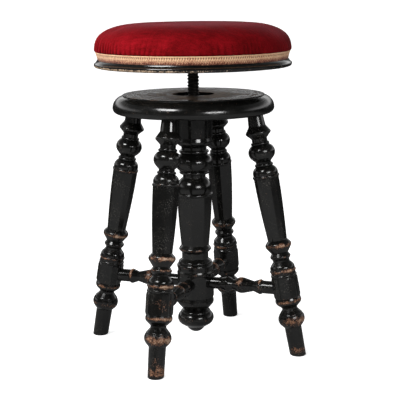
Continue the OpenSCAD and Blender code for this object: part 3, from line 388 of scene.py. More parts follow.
# Each mark: its place along the leg, its half width and its wear
LEG_MARKS = {
    "leg_front": ((TIP, 0.036, 0.80), (LOW_BALL, 0.014, 0.92), (BEAD, 0.0058, 0.90),
                  (BLOCK_MIDDLE, 0.020, 0.47), (BLOCK_HEAD - 0.004, 0.0058, 0.78),
                  (COLLAR - 0.001, 0.0060, 0.96),
                  (SMALL_RING + 0.001, 0.004, 0.80), (BIG_RING, 0.0080, 0.98),
                  (FILLET, 0.0022, 0.6), (TOP_RING, 0.002, 0.5)),
    "leg_right": ((TIP, 0.024, 0.66), (LOW_BALL, 0.014, 0.84), (BEAD, 0.0055, 0.78),
                  (BLOCK_FOOT, 0.0018, 0.5), (COLLAR, 0.0058, 0.88), (SMALL_RING, 0.003, 0.55),
                  (BIG_RING, 0.0075, 0.90), (FILLET, 0.002, 0.6)),
    "leg_back": ((LOW_BALL, 0.009, 0.5), (BEAD, 0.004, 0.45), (COLLAR, 0.004, 0.7),
                 (BIG_RING, 0.006, 0.6)),
    "leg_left": ((LOW_BALL, 0.009, 0.6), (BEAD, 0.0045, 0.7), (COLLAR, 0.004, 0.72),
                 (SMALL_RING, 0.003, 0.5), (BIG_RING - 0.001, 0.0068, 0.88), (FILLET, 0.002, 0.7)),
}
# Each leg: its place round the stool and its more worn side, in degrees, and its seed
LEGS = {"leg_front": (270, 55, 3.0), "leg_right": (0, -30, 7.4),
        "leg_back": (90, 160, 11.2), "leg_left": (180, 110, 15.9)}
for leg, (angle, side, seed) in LEGS.items():
    outward = math.radians(angle)
    foot_place = (foot_r * math.cos(outward), foot_r * math.sin(outward), 0)
    dress(leg, ebonised(leg, foot_place, (0, -rake, outward), LEG_LEN, LEG_MARKS[leg], side, seed))


# The column: one heavy turning with an octagonal shaft and block, hollow above for the
# spindle. It is out of reach of shoes and nearly whole; a ring and the tip are rubbed.
COLUMN_MARKS = ((0.034, 0.008, 0.45), (0.0525, 0.006, 0.35), (0.1379, 0.003, 0.35),
                (0.151, 0.004, 0.35), (0.1824, 0.0028, 0.62))
dress("column", ebonised("column", (0, 0, 0), (0, 0, 0), platform_z, COLUMN_MARKS,
                         side=-80, seed=21.3, dust=0.5))


# The stretchers: four slim turnings pegged into the column's block and the legs' blocks.
# Heels have worn the tops of their swellings.
STRETCHER_Z = 0.12
STRETCHER_SPAN = 0.16
STRETCHER_MARKS = ((0.0627, 0.006, 0.6), (0.088, 0.014, 0.78), (0.1252, 0.005, 0.95))
STRETCHER_TURNS = {"stretcher_front": 270, "stretcher_right": 0, "stretcher_back": 90,
                   "stretcher_left": 180}
STRETCHER_TOP = 180
FIRST_SEED = 31.0
for name, angle in STRETCHER_TURNS.items():
    dress(name, ebonised(name, (0, 0, STRETCHER_Z), (0, math.radians(90), math.radians(angle)),
                         STRETCHER_SPAN, STRETCHER_MARKS, STRETCHER_TOP, FIRST_SEED + angle))


# The platform: a thick turned disc with a rounded edge. Its top has been rubbed dull and
# brown in streaks and rings, most of all near the flange's recess, by the seat's flange
# and by dusting; the edge keeps its gloss.
EDGE_END_Z, DISC_Z = 0.4632, 0.4638
RING_SCALE, CLOUD_SCALE = 120.0, 24.0
STREAK_SCALE, STREAK_TURN = (40.0, 130.0, 40.0), 0.3
STREAK_FORCE, RING_FORCE, CLOUD_FORCE = 0.7, 0.45, 0.55
# The radii between which the wear grows towards the recess, and what it gives at each
OUTER_R, INNER_R, OUTER_WEAR, INNER_WEAR = 0.105, 0.05, -0.13, 0.03
TOP_STOPS = ((0.30, (0.0015, 0.0012, 0.001)), (0.46, (0.004, 0.003, 0.0024)),
             (0.56, (0.070, 0.044, 0.030)), (0.70, (0.30, 0.21, 0.15)))
# How far the tone lags behind the wear, and the wear at which the top starts to go dull
# and is as rough as it gets
TONE_LAG = 0.25
TOP_DULL_STARTS, TOP_DULL_WHOLE, RUBBED_ROUGH = 0.66, 0.86, 0.6
TOP_RELIEF = 1.5
WHOLE_WEAR, WHOLE_DUST = 0.1, 0.25
PLATFORM_SEED = 43.0


def platform_finish():
    """Black lacquer that turns, over the raised top disc, to a dull streaked brown-black.
    The top is told from the edge by its height. Its wear is a sum of streaks, of rings by
    the distance from the axis, of clouds and of a share that grows towards the recess."""
    made, tree, look = new_finish("platform_top")
    where = add(tree, "ShaderNodeTexCoord").outputs["Object"]
    height = add(tree, "ShaderNodeSeparateXYZ", {0: where}).outputs[2]
    top = ranged(tree, height, EDGE_END_Z, DISC_Z)
    radius = vectors(tree, "LENGTH", vectors(tree, "MULTIPLY", where, (1, 1, 0)))
    rings = add(tree, "ShaderNodeTexNoise", {"W": radius, "Scale": RING_SCALE, "Detail": 3.0},
                noise_dimensions="1D").outputs[0]
    streaks = noise(tree, where, STREAK_SCALE, 4.0, turn=STREAK_TURN, Roughness=0.6)
    clouds = noise(tree, where, CLOUD_SCALE, 4.0)
    rubbed = ranged(tree, radius, OUTER_R, INNER_R, OUTER_WEAR, INNER_WEAR)
    for force, marks in ((CLOUD_FORCE, clouds), (RING_FORCE, rings), (STREAK_FORCE, streaks)):
        rubbed = sums(tree, "MULTIPLY_ADD", marks, force, rubbed)
    tone = graded(tree, sums(tree, "SUBTRACT", rubbed, TONE_LAG), TOP_STOPS)
    dull = ranged(tree, rubbed, TOP_DULL_STARTS, TOP_DULL_WHOLE, GLOSSY, RUBBED_ROUGH)
    lacquer = lacquered(tree, where, WHOLE_WEAR, PLATFORM_SEED, WHOLE_DUST)
    rough = add(tree, "ShaderNodeMix", {0: top, 2: lacquer["Roughness"], 3: dull}).outputs[0]
    relief = sums(tree, "MULTIPLY_ADD", sums(tree, "MULTIPLY", rubbed, top), TOP_RELIEF,
                  lacquer["Height"])
    give(tree, look, {"Base Color": mixed(tree, top, lacquer["Color"], tone), "Roughness": rough,
                      "Normal": bumped(tree, relief, strength=0.4, depth=RELIEF_DEPTH)})
    return made


dress("platform", platform_finish())


# The iron: nut plate, stop washer, spindle and flange, cast and cut, dark with oil. Their
# screws and the stop pin are steel.
SKIN_SCALE = 300.0
# The noise at which the skin is darkest and brightest, and how far its roughness goes
# above and below the metal's own there
SKIN_DARKEST, SKIN_BRIGHTEST = 0.3, 0.7
ROUGHER, SMOOTHER = 0.1, 0.08
SKIN_DEPTH = 0.0003


def oiled_iron(name, colour, rough, metal):
    """Dark metal with a faint mottled skin: noise moves colour and roughness together."""
    made, tree, look = new_finish(name)
    where = add(tree, "ShaderNodeTexCoord").outputs["Object"]
    skin = noise(tree, where, SKIN_SCALE, 4.0)
    dark = tuple(0.5 * c for c in colour)
    tone = graded(tree, skin, ((SKIN_DARKEST, dark), (SKIN_BRIGHTEST, colour)))
    worn = ranged(tree, skin, SKIN_DARKEST, SKIN_BRIGHTEST, rough + ROUGHER, rough - SMOOTHER)
    give(tree, look, {"Base Color": tone, "Roughness": worn, "Metallic": metal,
                      "Normal": bumped(tree, skin, strength=0.3, depth=SKIN_DEPTH)})
    return made


iron = oiled_iron("dark_iron", (0.03, 0.028, 0.025), 0.35, 0.7)
steel = oiled_iron("screw_steel", (0.3, 0.29, 0.28), 0.35, 1.0)
for name in ("nut_plate", "stop_washer", "spindle", "seat_flange"):
    dress(name, iron)
for name in ("nut_plate_screws", "stop_pin", "seat_flange_screws"):
    dress(name, steel)


# The seat board: a turned disc with a moulded lip, lacquered black. Knocks have chipped
# the lip's lower edge down to pale wood and primer, most of all at the front left.
LIP_Z = 0.5155
CHIPPED_BAND = 0.0042
CHIPPED_SIDE = math.radians(-118)
RUN_SCALE, FLAKE_SCALE = 60.0, 420.0
# How much a run and its flakes add to the loss, and what is taken off it
RUN_FORCE, FLAKE_FORCE, LOSS_LAG = 0.9, 1.6, 0.9
# How squarely a place faces the chipped side where more is lost and where most is, and
# how much more; then the loss at which a chip starts and is whole
SIDE_STARTS, SIDE_WHOLE, SIDE_LOSS = 0.1, 0.95, 0.3
CHIP_STARTS, CHIP_WHOLE = 0.60, 0.66
CHIP_SINKS, CHIP_ROUGH = 0.8, 0.55
BOARD_SEED = 51.0
CHIP_COLOURS = ((0.0, (0.16, 0.075, 0.035)), (0.5, (0.42, 0.28, 0.17)), (1.0, (0.62, 0.58, 0.52)))


def chipped_board():
    """Black lacquer whose lip is chipped. A band of heights round the lip, a turn towards
    the front left and two noises, a long run and small flakes, give the mask; inside it
    the colour goes from brown wood to pale primer, and outside it the lacquer is the
    turned pieces' own."""
    made, tree, look = new_finish("chipped_board")
    where = add(tree, "ShaderNodeTexCoord").outputs["Object"]
    height = add(tree, "ShaderNodeSeparateXYZ", {0: where}).outputs[2]
    off_lip = sums(tree, "ABSOLUTE", sums(tree, "SUBTRACT", height, LIP_Z))
    band = ranged(tree, off_lip, CHIPPED_BAND, 0.4 * CHIPPED_BAND)
    faced = facing_side(tree, where, CHIPPED_SIDE)
    side = ranged(tree, faced, SIDE_STARTS, SIDE_WHOLE, 0.0, SIDE_LOSS)
    run = noise(tree, where, RUN_SCALE, 3.0)
    flakes = noise(tree, where, FLAKE_SCALE, 3.0, Roughness=0.7)
    loss = sums(tree, "ADD", sums(tree, "MULTIPLY_ADD", flakes, FLAKE_FORCE, -LOSS_LAG),
                sums(tree, "MULTIPLY_ADD", run, RUN_FORCE, side))
    chip = ranged(tree, sums(tree, "MULTIPLY", loss, band), CHIP_STARTS, CHIP_WHOLE)
    lacquer = lacquered(tree, where, WHOLE_WEAR, BOARD_SEED, WHOLE_DUST)
    colour = mixed(tree, chip, lacquer["Color"], graded(tree, flakes, CHIP_COLOURS))
    rough = add(tree, "ShaderNodeMix", {0: chip, 2: lacquer["Roughness"], 3: CHIP_ROUGH}).outputs[0]
    relief = sums(tree, "MULTIPLY_ADD", chip, -CHIP_SINKS, lacquer["Height"])
    give(tree, look, {"Base Color": colour, "Roughness": rough,
                      "Normal": bumped(tree, relief, strength=0.3, depth=RELIEF_DEPTH)})
    return made


dress("seat_board", chipped_board())


# The cushion: horsehair and flock under red cotton velvet, drawn down over the board's
# edge and tacked. It swells over the braid in a soft roll, and short puckers stand above
# the braid where the cloth was gathered in, most of them at the front left.
COVER_LOW, COVER_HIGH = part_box("velvet_cover")
BRAID_LOW, BRAID_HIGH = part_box("gimp_braid")
STUFFING_FOOT_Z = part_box("stuffing")[0].z
CUSHION_R = COVER_HIGH.x
SKIRT_R, SKIRT_IN_R = 0.1651, 0.1637
WAIST_R, WAIST_Z = 0.1707, BRAID_HIGH.z
ROLL_H = 0.003
SIDE_POWER, CROWN_POWER = 0.33, 0.73
CROWN_POINTS, ROLL_POINTS = 240, 12
HAIR = 0.0002
# How much lower the crown lies before it swells, and how far above the cover's own
# height it may then stand
UNSWOLLEN, OVER_CROWN = 0.0045, 0.004
SWELL_STEPS = 128
SWELL_FRAMES = 20
SWELL_PRESSURE = 4.0
SWELL_CAP = 0.005
SWELL_EVENING = 60
PUCKER_SEED = 12
PUCKER_PITCH = 0.0098
PUCKER_DEPTH = 0.0023
PUCKER_REACH, PUCKER_LEAST_REACH = 0.015, 0.004
PUCKER_SIDE, PUCKER_SPREAD = math.radians(-135), 0.5
PUCKER_UNEVEN, PUCKER_LEAN = 2.2, 90
# The slow waves round the cushion: from which number of them to below which, and how far
# they vary the strength and the reach; then the strength everywhere, and the least of it
PUCKER_WAVES = (3, 17)
STRENGTH_VARIES, REACH_VARIES = 0.12, 0.35
PUCKER_EVERYWHERE, PUCKER_LEAST = 0.2, 0.05
# The nap: waves in a metre of its clouds and tufts, and of its brush strokes with their
# turn. Then painted shade: the axis along which the right side is painted darker, between
# which places along it, and which heights, the right side and the top are painted darker, and by
# how much
NAP_CLOUD_SCALE, TUFT_SCALE = 26.0, 900.0
STROKE_SCALE, STROKE_TURN = (60.0, 260.0, 160.0), 0.5
SHADE_ACROSS = (0.935, 0.355, 0.0)
SIDE_SHADE_FROM, SIDE_SHADE_TO, SIDE_SHADE_DEPTH = -0.13, -0.01, 0.085
TOP_SHADE_FROM_Z, TOP_SHADE_TO_Z, TOP_SHADE_DEPTH = 0.562, 0.584, 0.075
# How much painted shade darkens the puckers' bottoms
FOLD_SHADE = 0.3
# Shares of the clouds, strokes and tufts in the nap's lie, and in the pile's relief
CLOUD_SHARE, STROKE_SHARE, TUFT_SHARE = 0.26, 0.26, 0.48
STROKE_RELIEF, TUFT_RELIEF = 0.5, 0.7
VELVET_STOPS = ((0.15, (0.033, 0.0004, 0.0006)), (0.38, (0.115, 0.0013, 0.0026)),
                (0.5, (0.205, 0.0029, 0.0062)), (0.68, (0.31, 0.0062, 0.0130)))
PILE_DEPTH = 0.0007
SHEEN_TINT = (1.0, 0.36, 0.45, 1.0)


def dome(steps, path):
    """A square grid laid over a dome. The grid's rings keep their distance from its
    middle and become circles; that distance is the share of the length of path, a
    profile of radius and height from the middle of the top down to the skirt's hem."""
    line = np.linspace(-1, 1, steps + 1)
    a, b = np.meshgrid(line, line)
    wide = np.abs(a) > np.abs(b)
    reach = np.where(wide, a, b)
    share = np.divide(np.where(wide, b, a), reach, out=np.zeros_like(a), where=reach != 0)
    turn = np.where(wide, math.pi / 4 * share, math.pi / 2 - math.pi / 4 * share)
    lengths = np.concatenate([[0], np.cumsum(np.hypot(*np.diff(path, axis=0).T))])
    along = np.abs(reach) * lengths[-1]
    radius = np.interp(along, lengths, path[:, 0]) * np.sign(np.where(reach == 0, 1, reach))
    height = np.interp(along, lengths, path[:, 1])
    return np.stack([radius * np.cos(turn), radius * np.sin(turn), height], axis=-1)


def cushion_path():
    """The half section from the crown to the hem. The crown's radius goes as a low power
    of a cosine and its height as a power of the sine, which makes it full at the side and
    flat on top; a quarter wave leads in to the waist, and the skirt runs straight down."""
    t = np.linspace(math.pi / 2, 0, CROWN_POINTS)
    belly_z = WAIST_Z + ROLL_H
    crown_h = COVER_HIGH.z - UNSWOLLEN - belly_z
    crown = np.stack([CUSHION_R * np.cos(t).clip(0) ** SIDE_POWER,
                      belly_z + crown_h * np.sin(t) ** CROWN_POWER], 1)
    t = np.linspace(math.pi / 2, 0, ROLL_POINTS)[1:]
    roll = np.stack([WAIST_R + (CUSHION_R - WAIST_R) * np.sin(t), belly_z - ROLL_H * np.cos(t)], 1)
    skirt = np.array(((SKIRT_R, STUFFING_FOOT_Z), (SKIRT_R, COVER_LOW.z)))
    return np.concatenate([crown, roll, skirt])


def cushion_mesh(steps):
    """The dome, of a number of steps across, closed underneath: from the grid's rim the
    hem turns in and up to a hair above the board, where a fan closes the bottom."""
    grid = dome(steps, cushion_path())
    count = steps + 1
    index = np.arange(count * count).reshape(count, count)
    quads = np.stack([index[:-1, :-1], index[:-1, 1:], index[1:, 1:], index[1:, :-1]], -1)
    rim = np.concatenate([index[0, :-1], index[:-1, -1], index[-1, :0:-1], index[:0:-1, 0]])
    flat = grid.reshape(-1, 3)
    outward = flat[rim, :2] / SKIRT_R
    rings = [np.column_stack([outward * SKIRT_IN_R, np.full(len(rim), z)])
             for z in (COVER_LOW.z, STUFFING_FOOT_Z + HAIR)]
    hoops = [rim] + [len(flat) + k * len(rim) + np.arange(len(rim)) for k in (0, 1)]
    walls = [np.stack([upper, lower, np.roll(lower, -1), np.roll(upper, -1)], 1)
             for upper, lower in zip(hoops, hoops[1:])]
    middle = np.full(len(rim), len(flat) + 2 * len(rim))
    fan = np.stack([hoops[-1], middle, np.roll(hoops[-1], -1)], 1)
    points = np.concatenate([flat, *rings, [[0, 0, STUFFING_FOOT_Z + HAIR]]])
    made = bpy.data.meshes.new("velvet_cushion")
    made.from_pydata(points.tolist(), [],
                     np.concatenate([quads.reshape(-1, 4), *walls]).tolist() + fan.tolist())
    return made


def places(mesh):
    """The corners of a mesh as an array of points."""
    flat = np.empty(3 * len(mesh.vertices), dtype=np.float32)
    mesh.vertices.foreach_get("co", flat)
    return flat.reshape(-1, 3)


def doubled(sheet):
    """A grid with twice as many steps: midpoints between the rows, then the columns."""
    rows = np.empty((2 * len(sheet) - 1, *sheet.shape[1:]))
    rows[::2], rows[1::2] = sheet, (sheet[:-1] + sheet[1:]) / 2
    fine = np.empty((len(rows), 2 * rows.shape[1] - 1, *rows.shape[2:]))
    fine[:, ::2], fine[:, 1::2] = rows, (rows[:, :-1] + rows[:, 1:]) / 2
    return fine


def swelling():
    """How far each point of the dome moves when the cover is blown up like a cushion: a
    cloth simulation with pressure inside and no gravity, held where the braid binds it,
    on a sheet of half the steps. No point may move beyond a cap, and the moves are evened
    out with their neighbours', because thick stuffing takes no sharp folds."""
    trial = bpy.data.objects.new("trial_cover", cushion_mesh(SWELL_STEPS))
    scene.collection.objects.link(trial)
    start = places(trial.data)
    held = start[:, 2] < WAIST_Z + HAIR
    pins = trial.vertex_groups.new(name="held")
    pins.add(np.flatnonzero(held).tolist(), 1.0, "REPLACE")
    blown = trial.modifiers.new("blown", "CLOTH")
    cloth = blown.settings
    cloth.quality = 5
    cloth.mass = 0.3
    cloth.tension_stiffness = cloth.compression_stiffness = 12
    cloth.shear_stiffness = 6
    cloth.bending_stiffness = 0.4
    cloth.use_pressure = True
    cloth.uniform_pressure_force = SWELL_PRESSURE
    cloth.vertex_group_mass = "held"
    cloth.effector_weights.gravity = 0
    blown.point_cache.frame_start, blown.point_cache.frame_end = 1, SWELL_FRAMES
    for frame_number in range(1, SWELL_FRAMES + 1):
        scene.frame_set(frame_number)
    swollen = trial.evaluated_get(bpy.context.evaluated_depsgraph_get()).to_mesh()
    move = places(swollen) - start
    bpy.data.objects.remove(trial)
    scene.frame_set(1)
    far = np.linalg.norm(move, axis=1, keepdims=True)
    move *= np.minimum(1, SWELL_CAP / np.maximum(far, 1e-9))
    count = SWELL_STEPS + 1
    move = move[:count * count].reshape(count, count, 3)
    loose = ~held[:count * count].reshape(count, count, 1)
    move *= loose
    for _ in range(SWELL_EVENING):
        move[1:-1, 1:-1] = (move[:-2, 1:-1] + move[2:, 1:-1]
                            + move[1:-1, :-2] + move[1:-1, 2:]) / 4
        move *= loose
    return doubled(move).reshape(-1, 3)


def puckers(points):
    """Gathers above the braid: how deep each point is drawn in, from 0 to 1. A wave runs
    round the cushion with an uneven pitch and leans a little; it fades with the height
    above the braid, and its strength changes round the cushion, greatest at one side. The
    unevenness, the lean and the strength each sum a few slow waves round the cushion."""
    rng = np.random.default_rng(PUCKER_SEED)
    turn = np.arctan2(points[:, 1], points[:, 0])
    rise = np.maximum(points[:, 2] - WAIST_Z, 0)
    orders = np.arange(*PUCKER_WAVES)
    phases = rng.uniform(0, 2 * math.pi, (3, len(orders)))
    uneven, lean, force = (np.cos(np.outer(turn, orders) + phase).sum(1) / math.sqrt(len(orders))
                           for phase in phases)
    gathers = round(2 * math.pi * CUSHION_R / PUCKER_PITCH)
    wave = turn * gathers + PUCKER_UNEVEN * uneven + PUCKER_LEAN * rise * lean
    away = (turn - PUCKER_SIDE + math.pi) % (2 * math.pi) - math.pi
    strength = (PUCKER_EVERYWHERE + np.exp(-(away / PUCKER_SPREAD) ** 2)
                + STRENGTH_VARIES * force)
    reach = np.maximum(PUCKER_REACH * (1 + REACH_VARIES * force), PUCKER_LEAST_REACH)
    fade = np.exp(-(rise / reach) ** 1.5) * (rise > 0)
    ridge = (0.5 + 0.5 * np.cos(wave)) ** 2
    return np.clip(strength, PUCKER_LEAST, None) * fade * ridge


def red_velvet():
    """Cotton velvet: the nap's lie moves the red in soft clouds and brush strokes, single
    tufts speckle it, the puckers' bottoms are painted dark as shade, and a sheen rims it at
    low angles. The right side and the top are painted darker, as shade from a light at the left."""
    made, tree, look = new_finish("red_velvet")
    where = add(tree, "ShaderNodeTexCoord").outputs["Object"]
    clouds = noise(tree, where, NAP_CLOUD_SCALE, 3.0, Distortion=0.6)
    strokes = noise(tree, where, STROKE_SCALE, 3.0, turn=STROKE_TURN)
    tufts = noise(tree, where, TUFT_SCALE, 2.0)
    fold = add(tree, "ShaderNodeAttribute", attribute_name="fold").outputs["Fac"]
    lie = sums(tree, "MULTIPLY_ADD", strokes, STROKE_SHARE,
               sums(tree, "MULTIPLY", tufts, TUFT_SHARE))
    lie = sums(tree, "MULTIPLY_ADD", clouds, CLOUD_SHARE, lie)
    # Painted shade in the puckers' bottoms
    lie = sums(tree, "MULTIPLY_ADD", fold, -FOLD_SHADE, lie)
    # Painted shade: the right side and the top are made darker, as if lit from the left
    side_shade = ranged(tree, vectors(tree, "DOT_PRODUCT", where, SHADE_ACROSS), SIDE_SHADE_FROM,
                     SIDE_SHADE_TO, 0.0, SIDE_SHADE_DEPTH, interpolation_type="SMOOTHSTEP")
    top_shade = ranged(tree, add(tree, "ShaderNodeSeparateXYZ", {0: where}).outputs[2], TOP_SHADE_FROM_Z,
                 TOP_SHADE_TO_Z, 0.0, TOP_SHADE_DEPTH, interpolation_type="SMOOTHSTEP")
    lie = sums(tree, "SUBTRACT", lie, sums(tree, "ADD", side_shade, top_shade))
    pile = sums(tree, "MULTIPLY_ADD", tufts, TUFT_RELIEF,
                sums(tree, "MULTIPLY", strokes, STROKE_RELIEF))
    give(tree, look, {"Base Color": graded(tree, lie, VELVET_STOPS), "Roughness": 0.88,
                      "Normal": bumped(tree, pile, strength=0.5, depth=PILE_DEPTH),
                      "Specular IOR Level": 0.05, "Sheen Weight": 0.09, "Sheen Roughness": 0.32,
                      "Sheen Tint": SHEEN_TINT})
    return made


cushion = bpy.data.objects.new("velvet_cushion", cushion_mesh(2 * SWELL_STEPS))
scene.collection.objects.link(cushion)
shape = places(cushion.data)
moves = swelling()
shape[:len(moves)] += moves
fold = puckers(shape)
outward = shape[:, :2] / np.maximum(np.linalg.norm(shape[:, :2], axis=1, keepdims=True), 1e-6)
shape[:, :2] -= outward * (PUCKER_DEPTH * fold)[:, None]
shape[:, 2] = np.minimum(shape[:, 2], COVER_HIGH.z + OVER_CROWN)
cushion.data.vertices.foreach_set("co", shape.astype(np.float32).ravel())
cushion.data.attributes.new("fold", "FLOAT", "POINT").data.foreach_set(
    "value", fold.astype(np.float32))
cushion.data.polygons.foreach_set("use_smooth", np.ones(len(cushion.data.polygons), dtype=bool))
cushion.data.update()
cushion.data.materials.append(red_velvet())
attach(cushion, "seat")
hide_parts("velvet_cover", "stuffing")


# The tacks: small dull brass upholstery tacks, driven through the velvet's hem into the
# board's edge and hidden under the braid.
dress("cover_tacks", oiled_iron("tack_brass", (0.46, 0.31, 0.13), 0.38, 1.0))


# The braid: a woven gimp of peach and tan threads, glued over the velvet's edge and the
# tacks. From the top it has a corded edge, a row of stitches painted dark as shade where they
# dip, a plain band with a faint zigzag, a twisted band whose dips are painted dark as shade,
# and a thin corded foot, dirty from hands and dusting.
BRAID_FOOT_R, BRAID_TOP_R = 0.1663, 0.1711
BRAID_W = 0.0154
BRAID_AROUND, BRAID_ACROSS = 3000, 26
BRAID_T = 0.0010
STITCHES, TWISTS, CORD_TURNS = 250, 250, 750
# Middle and half width of each row, in shares of the braid's width from its foot
EDGE_CORD, STITCH_ROW, PLAIN_BAND = (0.93, 0.07), (0.76, 0.10), (0.56, 0.17)
TWIST_BAND, FOOT_CORD = (0.24, 0.15), (0.05, 0.06)
# How far each row stands out, or the stitches dip, in metres
EDGE_OUT, PLAIN_OUT, TWIST_OUT, FOOT_OUT, STITCH_DIP = 0.00045, 0.00025, 0.00055, 0.00035, 0.0006
# Middle and half width of the dark parts: the twist's dips, painted dark as shade, and the
# zigzag and the line between the plain band and the twist, both the braid's own pattern
TWIST_DARK, ZIGZAG_DARK, SEAM_DARK = (0.2, 0.2), (0.5, 0.24), (0.41, 0.04)
# How dark each is: the stitches and the twist's dips are painted shade, the zigzag and the seam
# pattern
STITCH_SHADE, TWIST_SHADE, ZIGZAG_SHADE, SEAM_SHADE = 1.3, 1.25, 0.4, 0.35
# A chevron's arm, as a share of a twist back over a share of the width, and how far the
# cords' threads climb and the zigzag's swing, in turns of their waves
CHEVRON_BACK, CHEVRON_ARM = 0.35, 0.14
CORD_CLIMB, ZIGZAG_SWING = 4, 0.4
RIB_SCALE, SOIL_SCALE, MOTTLE_SCALE, LINT_SCALE = 420.0, 42.0, 330.0, 1100.0
# The heights up the braid between which dirt thickens, and how much it adds
CLEAN_UP, DIRTY_UP, DIRT = 0.0080, 0.0015, 0.58
# How much clouds, lint and mottling soil the thread, and the noise above which lint and
# mottling do; the clouds' soil has its lag taken off
CLOUD_SOIL, LINT_SOIL, MOTTLE_SOIL = 0.8, 0.5, 1.3
CLOUD_LAG, LINT_STARTS, MOTTLE_STARTS = 0.28, 0.4, 0.5
DIP_SHARE = 0.92
RIB_RELIEF, LINT_RELIEF = 0.6, 0.6
THREAD_STOPS = ((0.08, (0.86, 0.56, 0.33)), (0.42, (0.66, 0.33, 0.19)),
                (0.68, (0.30, 0.115, 0.065)), (0.95, (0.10, 0.036, 0.022)))
# The dark parts' colour: painted shade in the stitches and the twist's dips, and the zigzag's and
# seam's own colour
DIP_SHADE_COLOUR = (0.10, 0.020, 0.012, 1)
THREAD_DEPTH = 0.0004


def braid_relief(turn, up):
    """How far the braid's face stands out, in metres, and how dark its threads are painted, at a
    turn round the seat in shares of the circle and a height up in shares of its width.
    The darkness is painted shade in the stitches and the twist's dips, and the zigzag's and
    the seam's own colour.
    Each row is a hump, one less the square of the way from its middle, times a wave
    round the seat; the wave's phase climbs with the height in the cords, and points back
    at the row's middle in the chevrons."""
    def hump(middle, half):
        return np.clip(1 - ((up - middle) / half) ** 2, 0, None)

    def line(middle, half):
        return np.exp(-((up - middle) / half) ** 2)

    def wave(turns):
        return 0.5 + 0.5 * np.cos(2 * math.pi * turns)

    stitch = line(*STITCH_ROW) * wave(turn * STITCHES) ** 1.5
    chevron = wave(turn * TWISTS + CHEVRON_BACK * np.abs(up - TWIST_BAND[0]) / CHEVRON_ARM)
    cord = wave(turn * CORD_TURNS + CORD_CLIMB * up)
    zigzag = wave(turn * TWISTS + ZIGZAG_SWING * np.abs((4 * up) % 2 - 1))
    stand = (BRAID_T + EDGE_OUT * hump(*EDGE_CORD) * (0.75 + 0.25 * cord)
             + PLAIN_OUT * hump(*PLAIN_BAND)
             + TWIST_OUT * hump(*TWIST_BAND) * (0.35 + 0.65 * chevron)
             + FOOT_OUT * hump(*FOOT_CORD) * (0.7 + 0.3 * cord) - STITCH_DIP * stitch)
    # Painted shade where the stitches and the twist dip; the zigzag and the seam are the braid's
    # pattern
    dark = (STITCH_SHADE * stitch + TWIST_SHADE * hump(*TWIST_DARK) * (1 - chevron) ** 1.3
            + ZIGZAG_SHADE * hump(*ZIGZAG_DARK) * zigzag ** 2 + SEAM_SHADE * line(*SEAM_DARK))
    return stand, np.clip(dark, 0, 1)


def braid_mesh():
    """The braid as a closed band: its face stands out from a cone by the relief, and its
    back is the cone. Each corner's UV runs round the seat and up the braid, in metres."""
    turn = np.arange(BRAID_AROUND) / BRAID_AROUND
    up = np.concatenate([np.linspace(0, 1, BRAID_ACROSS), [1.0, 0.0]])
    face = np.concatenate([np.ones(BRAID_ACROSS), [0.0, 0.0]])[:, None]
    u, v = np.meshgrid(turn, up)
    stand, dark = (part * face for part in braid_relief(u, v))
    lean = math.atan2(BRAID_TOP_R - BRAID_FOOT_R, BRAID_HIGH.z - BRAID_LOW.z)
    radius = BRAID_FOOT_R + (BRAID_TOP_R - BRAID_FOOT_R) * v + stand * math.cos(lean)
    height = BRAID_LOW.z + (BRAID_HIGH.z - BRAID_LOW.z) * v - stand * math.sin(lean)
    height = np.maximum(height, BRAID_LOW.z)
    angle = 2 * math.pi * u
    points = np.stack([radius * np.cos(angle), radius * np.sin(angle), height], -1)
    rows = len(up)
    row, column = np.meshgrid(np.arange(rows), np.arange(BRAID_AROUND), indexing="ij")
    corners = [(row, column), (row, column + 1), (row + 1, column + 1), (row + 1, column)]
    quads = np.stack([(r % rows) * BRAID_AROUND + c % BRAID_AROUND for r, c in corners], -1)
    made = bpy.data.meshes.new("woven_braid")
    made.from_pydata(points.reshape(-1, 3).tolist(), [], quads.reshape(-1, 4).tolist())
    around = 2 * math.pi * BRAID_TOP_R / BRAID_AROUND
    lie = np.stack([np.stack([c * around, up[r % rows] * BRAID_W], -1) for r, c in corners], 2)
    made.uv_layers.new(name="lie").data.foreach_set("uv", lie.astype(np.float32).ravel())
    # The thread's darkness: painted shade in the dips, and the braid's own dark pattern
    made.attributes.new("thread", "FLOAT", "POINT").data.foreach_set(
        "value", dark.astype(np.float32).ravel())
    made.polygons.foreach_set("use_smooth", np.ones(len(made.polygons), dtype=bool))
    made.update()
    return made


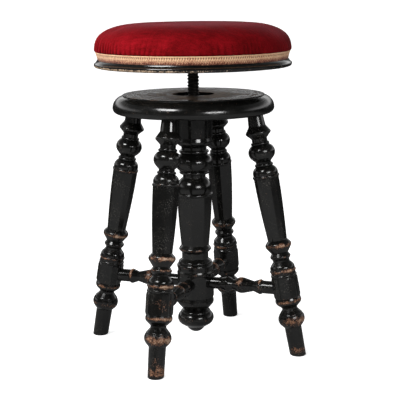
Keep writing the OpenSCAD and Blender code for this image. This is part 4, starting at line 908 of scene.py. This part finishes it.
def woven_gimp():
    """Peach thread in fine upright ribs, darkened by painted shade where the stitches and the
    twist dip and by the zigzag and the seam, mottled, and dirtied in clouds that thicken
    towards the braid's lower edge."""
    made, tree, look = new_finish("woven_gimp")
    where = add(tree, "ShaderNodeTexCoord").outputs
    dark = add(tree, "ShaderNodeAttribute", attribute_name="thread").outputs["Fac"]
    ribs = add(tree, "ShaderNodeTexWave", {"Vector": where["UV"], "Scale": RIB_SCALE,
                                           "Distortion": 0.4, "Detail": 1.0},
               wave_type="BANDS", bands_direction="X").outputs["Fac"]
    clouds = noise(tree, where["Object"], SOIL_SCALE, 4.0)
    mottle = noise(tree, where["Object"], MOTTLE_SCALE, 1.0)
    lint = noise(tree, where["Object"], LINT_SCALE, 2.0)
    up = add(tree, "ShaderNodeSeparateXYZ", {0: where["UV"]}).outputs[1]
    low = ranged(tree, up, CLEAN_UP, DIRTY_UP, 0.0, DIRT)
    soil = sums(tree, "ADD", sums(tree, "MULTIPLY_ADD", clouds, CLOUD_SOIL, -CLOUD_LAG), low)
    for marks, starts, force in ((lint, LINT_STARTS, LINT_SOIL),
                                 (mottle, MOTTLE_STARTS, MOTTLE_SOIL)):
        soil = sums(tree, "MULTIPLY_ADD", sums(tree, "SUBTRACT", marks, starts), force, soil)
    # Painted shade in the stitches' and the twist's dips, and the dark zigzag and seam
    shaded_thread_colour = mixed(tree, sums(tree, "MULTIPLY", dark, DIP_SHARE),
                   graded(tree, soil, THREAD_STOPS), DIP_SHADE_COLOUR)
    relief = sums(tree, "MULTIPLY_ADD", ribs, RIB_RELIEF, sums(tree, "MULTIPLY", lint, LINT_RELIEF))
    give(tree, look, {"Base Color": shaded_thread_colour, "Roughness": 0.72, "Specular IOR Level": 0.25,
                      "Normal": bumped(tree, relief, strength=0.5, depth=THREAD_DEPTH),
                      "Sheen Weight": 0.12})
    return made


braid = bpy.data.objects.new("woven_braid", braid_mesh())
scene.collection.objects.link(braid)
braid.data.materials.append(woven_gimp())
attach(braid, "seat")
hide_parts("gimp_braid")
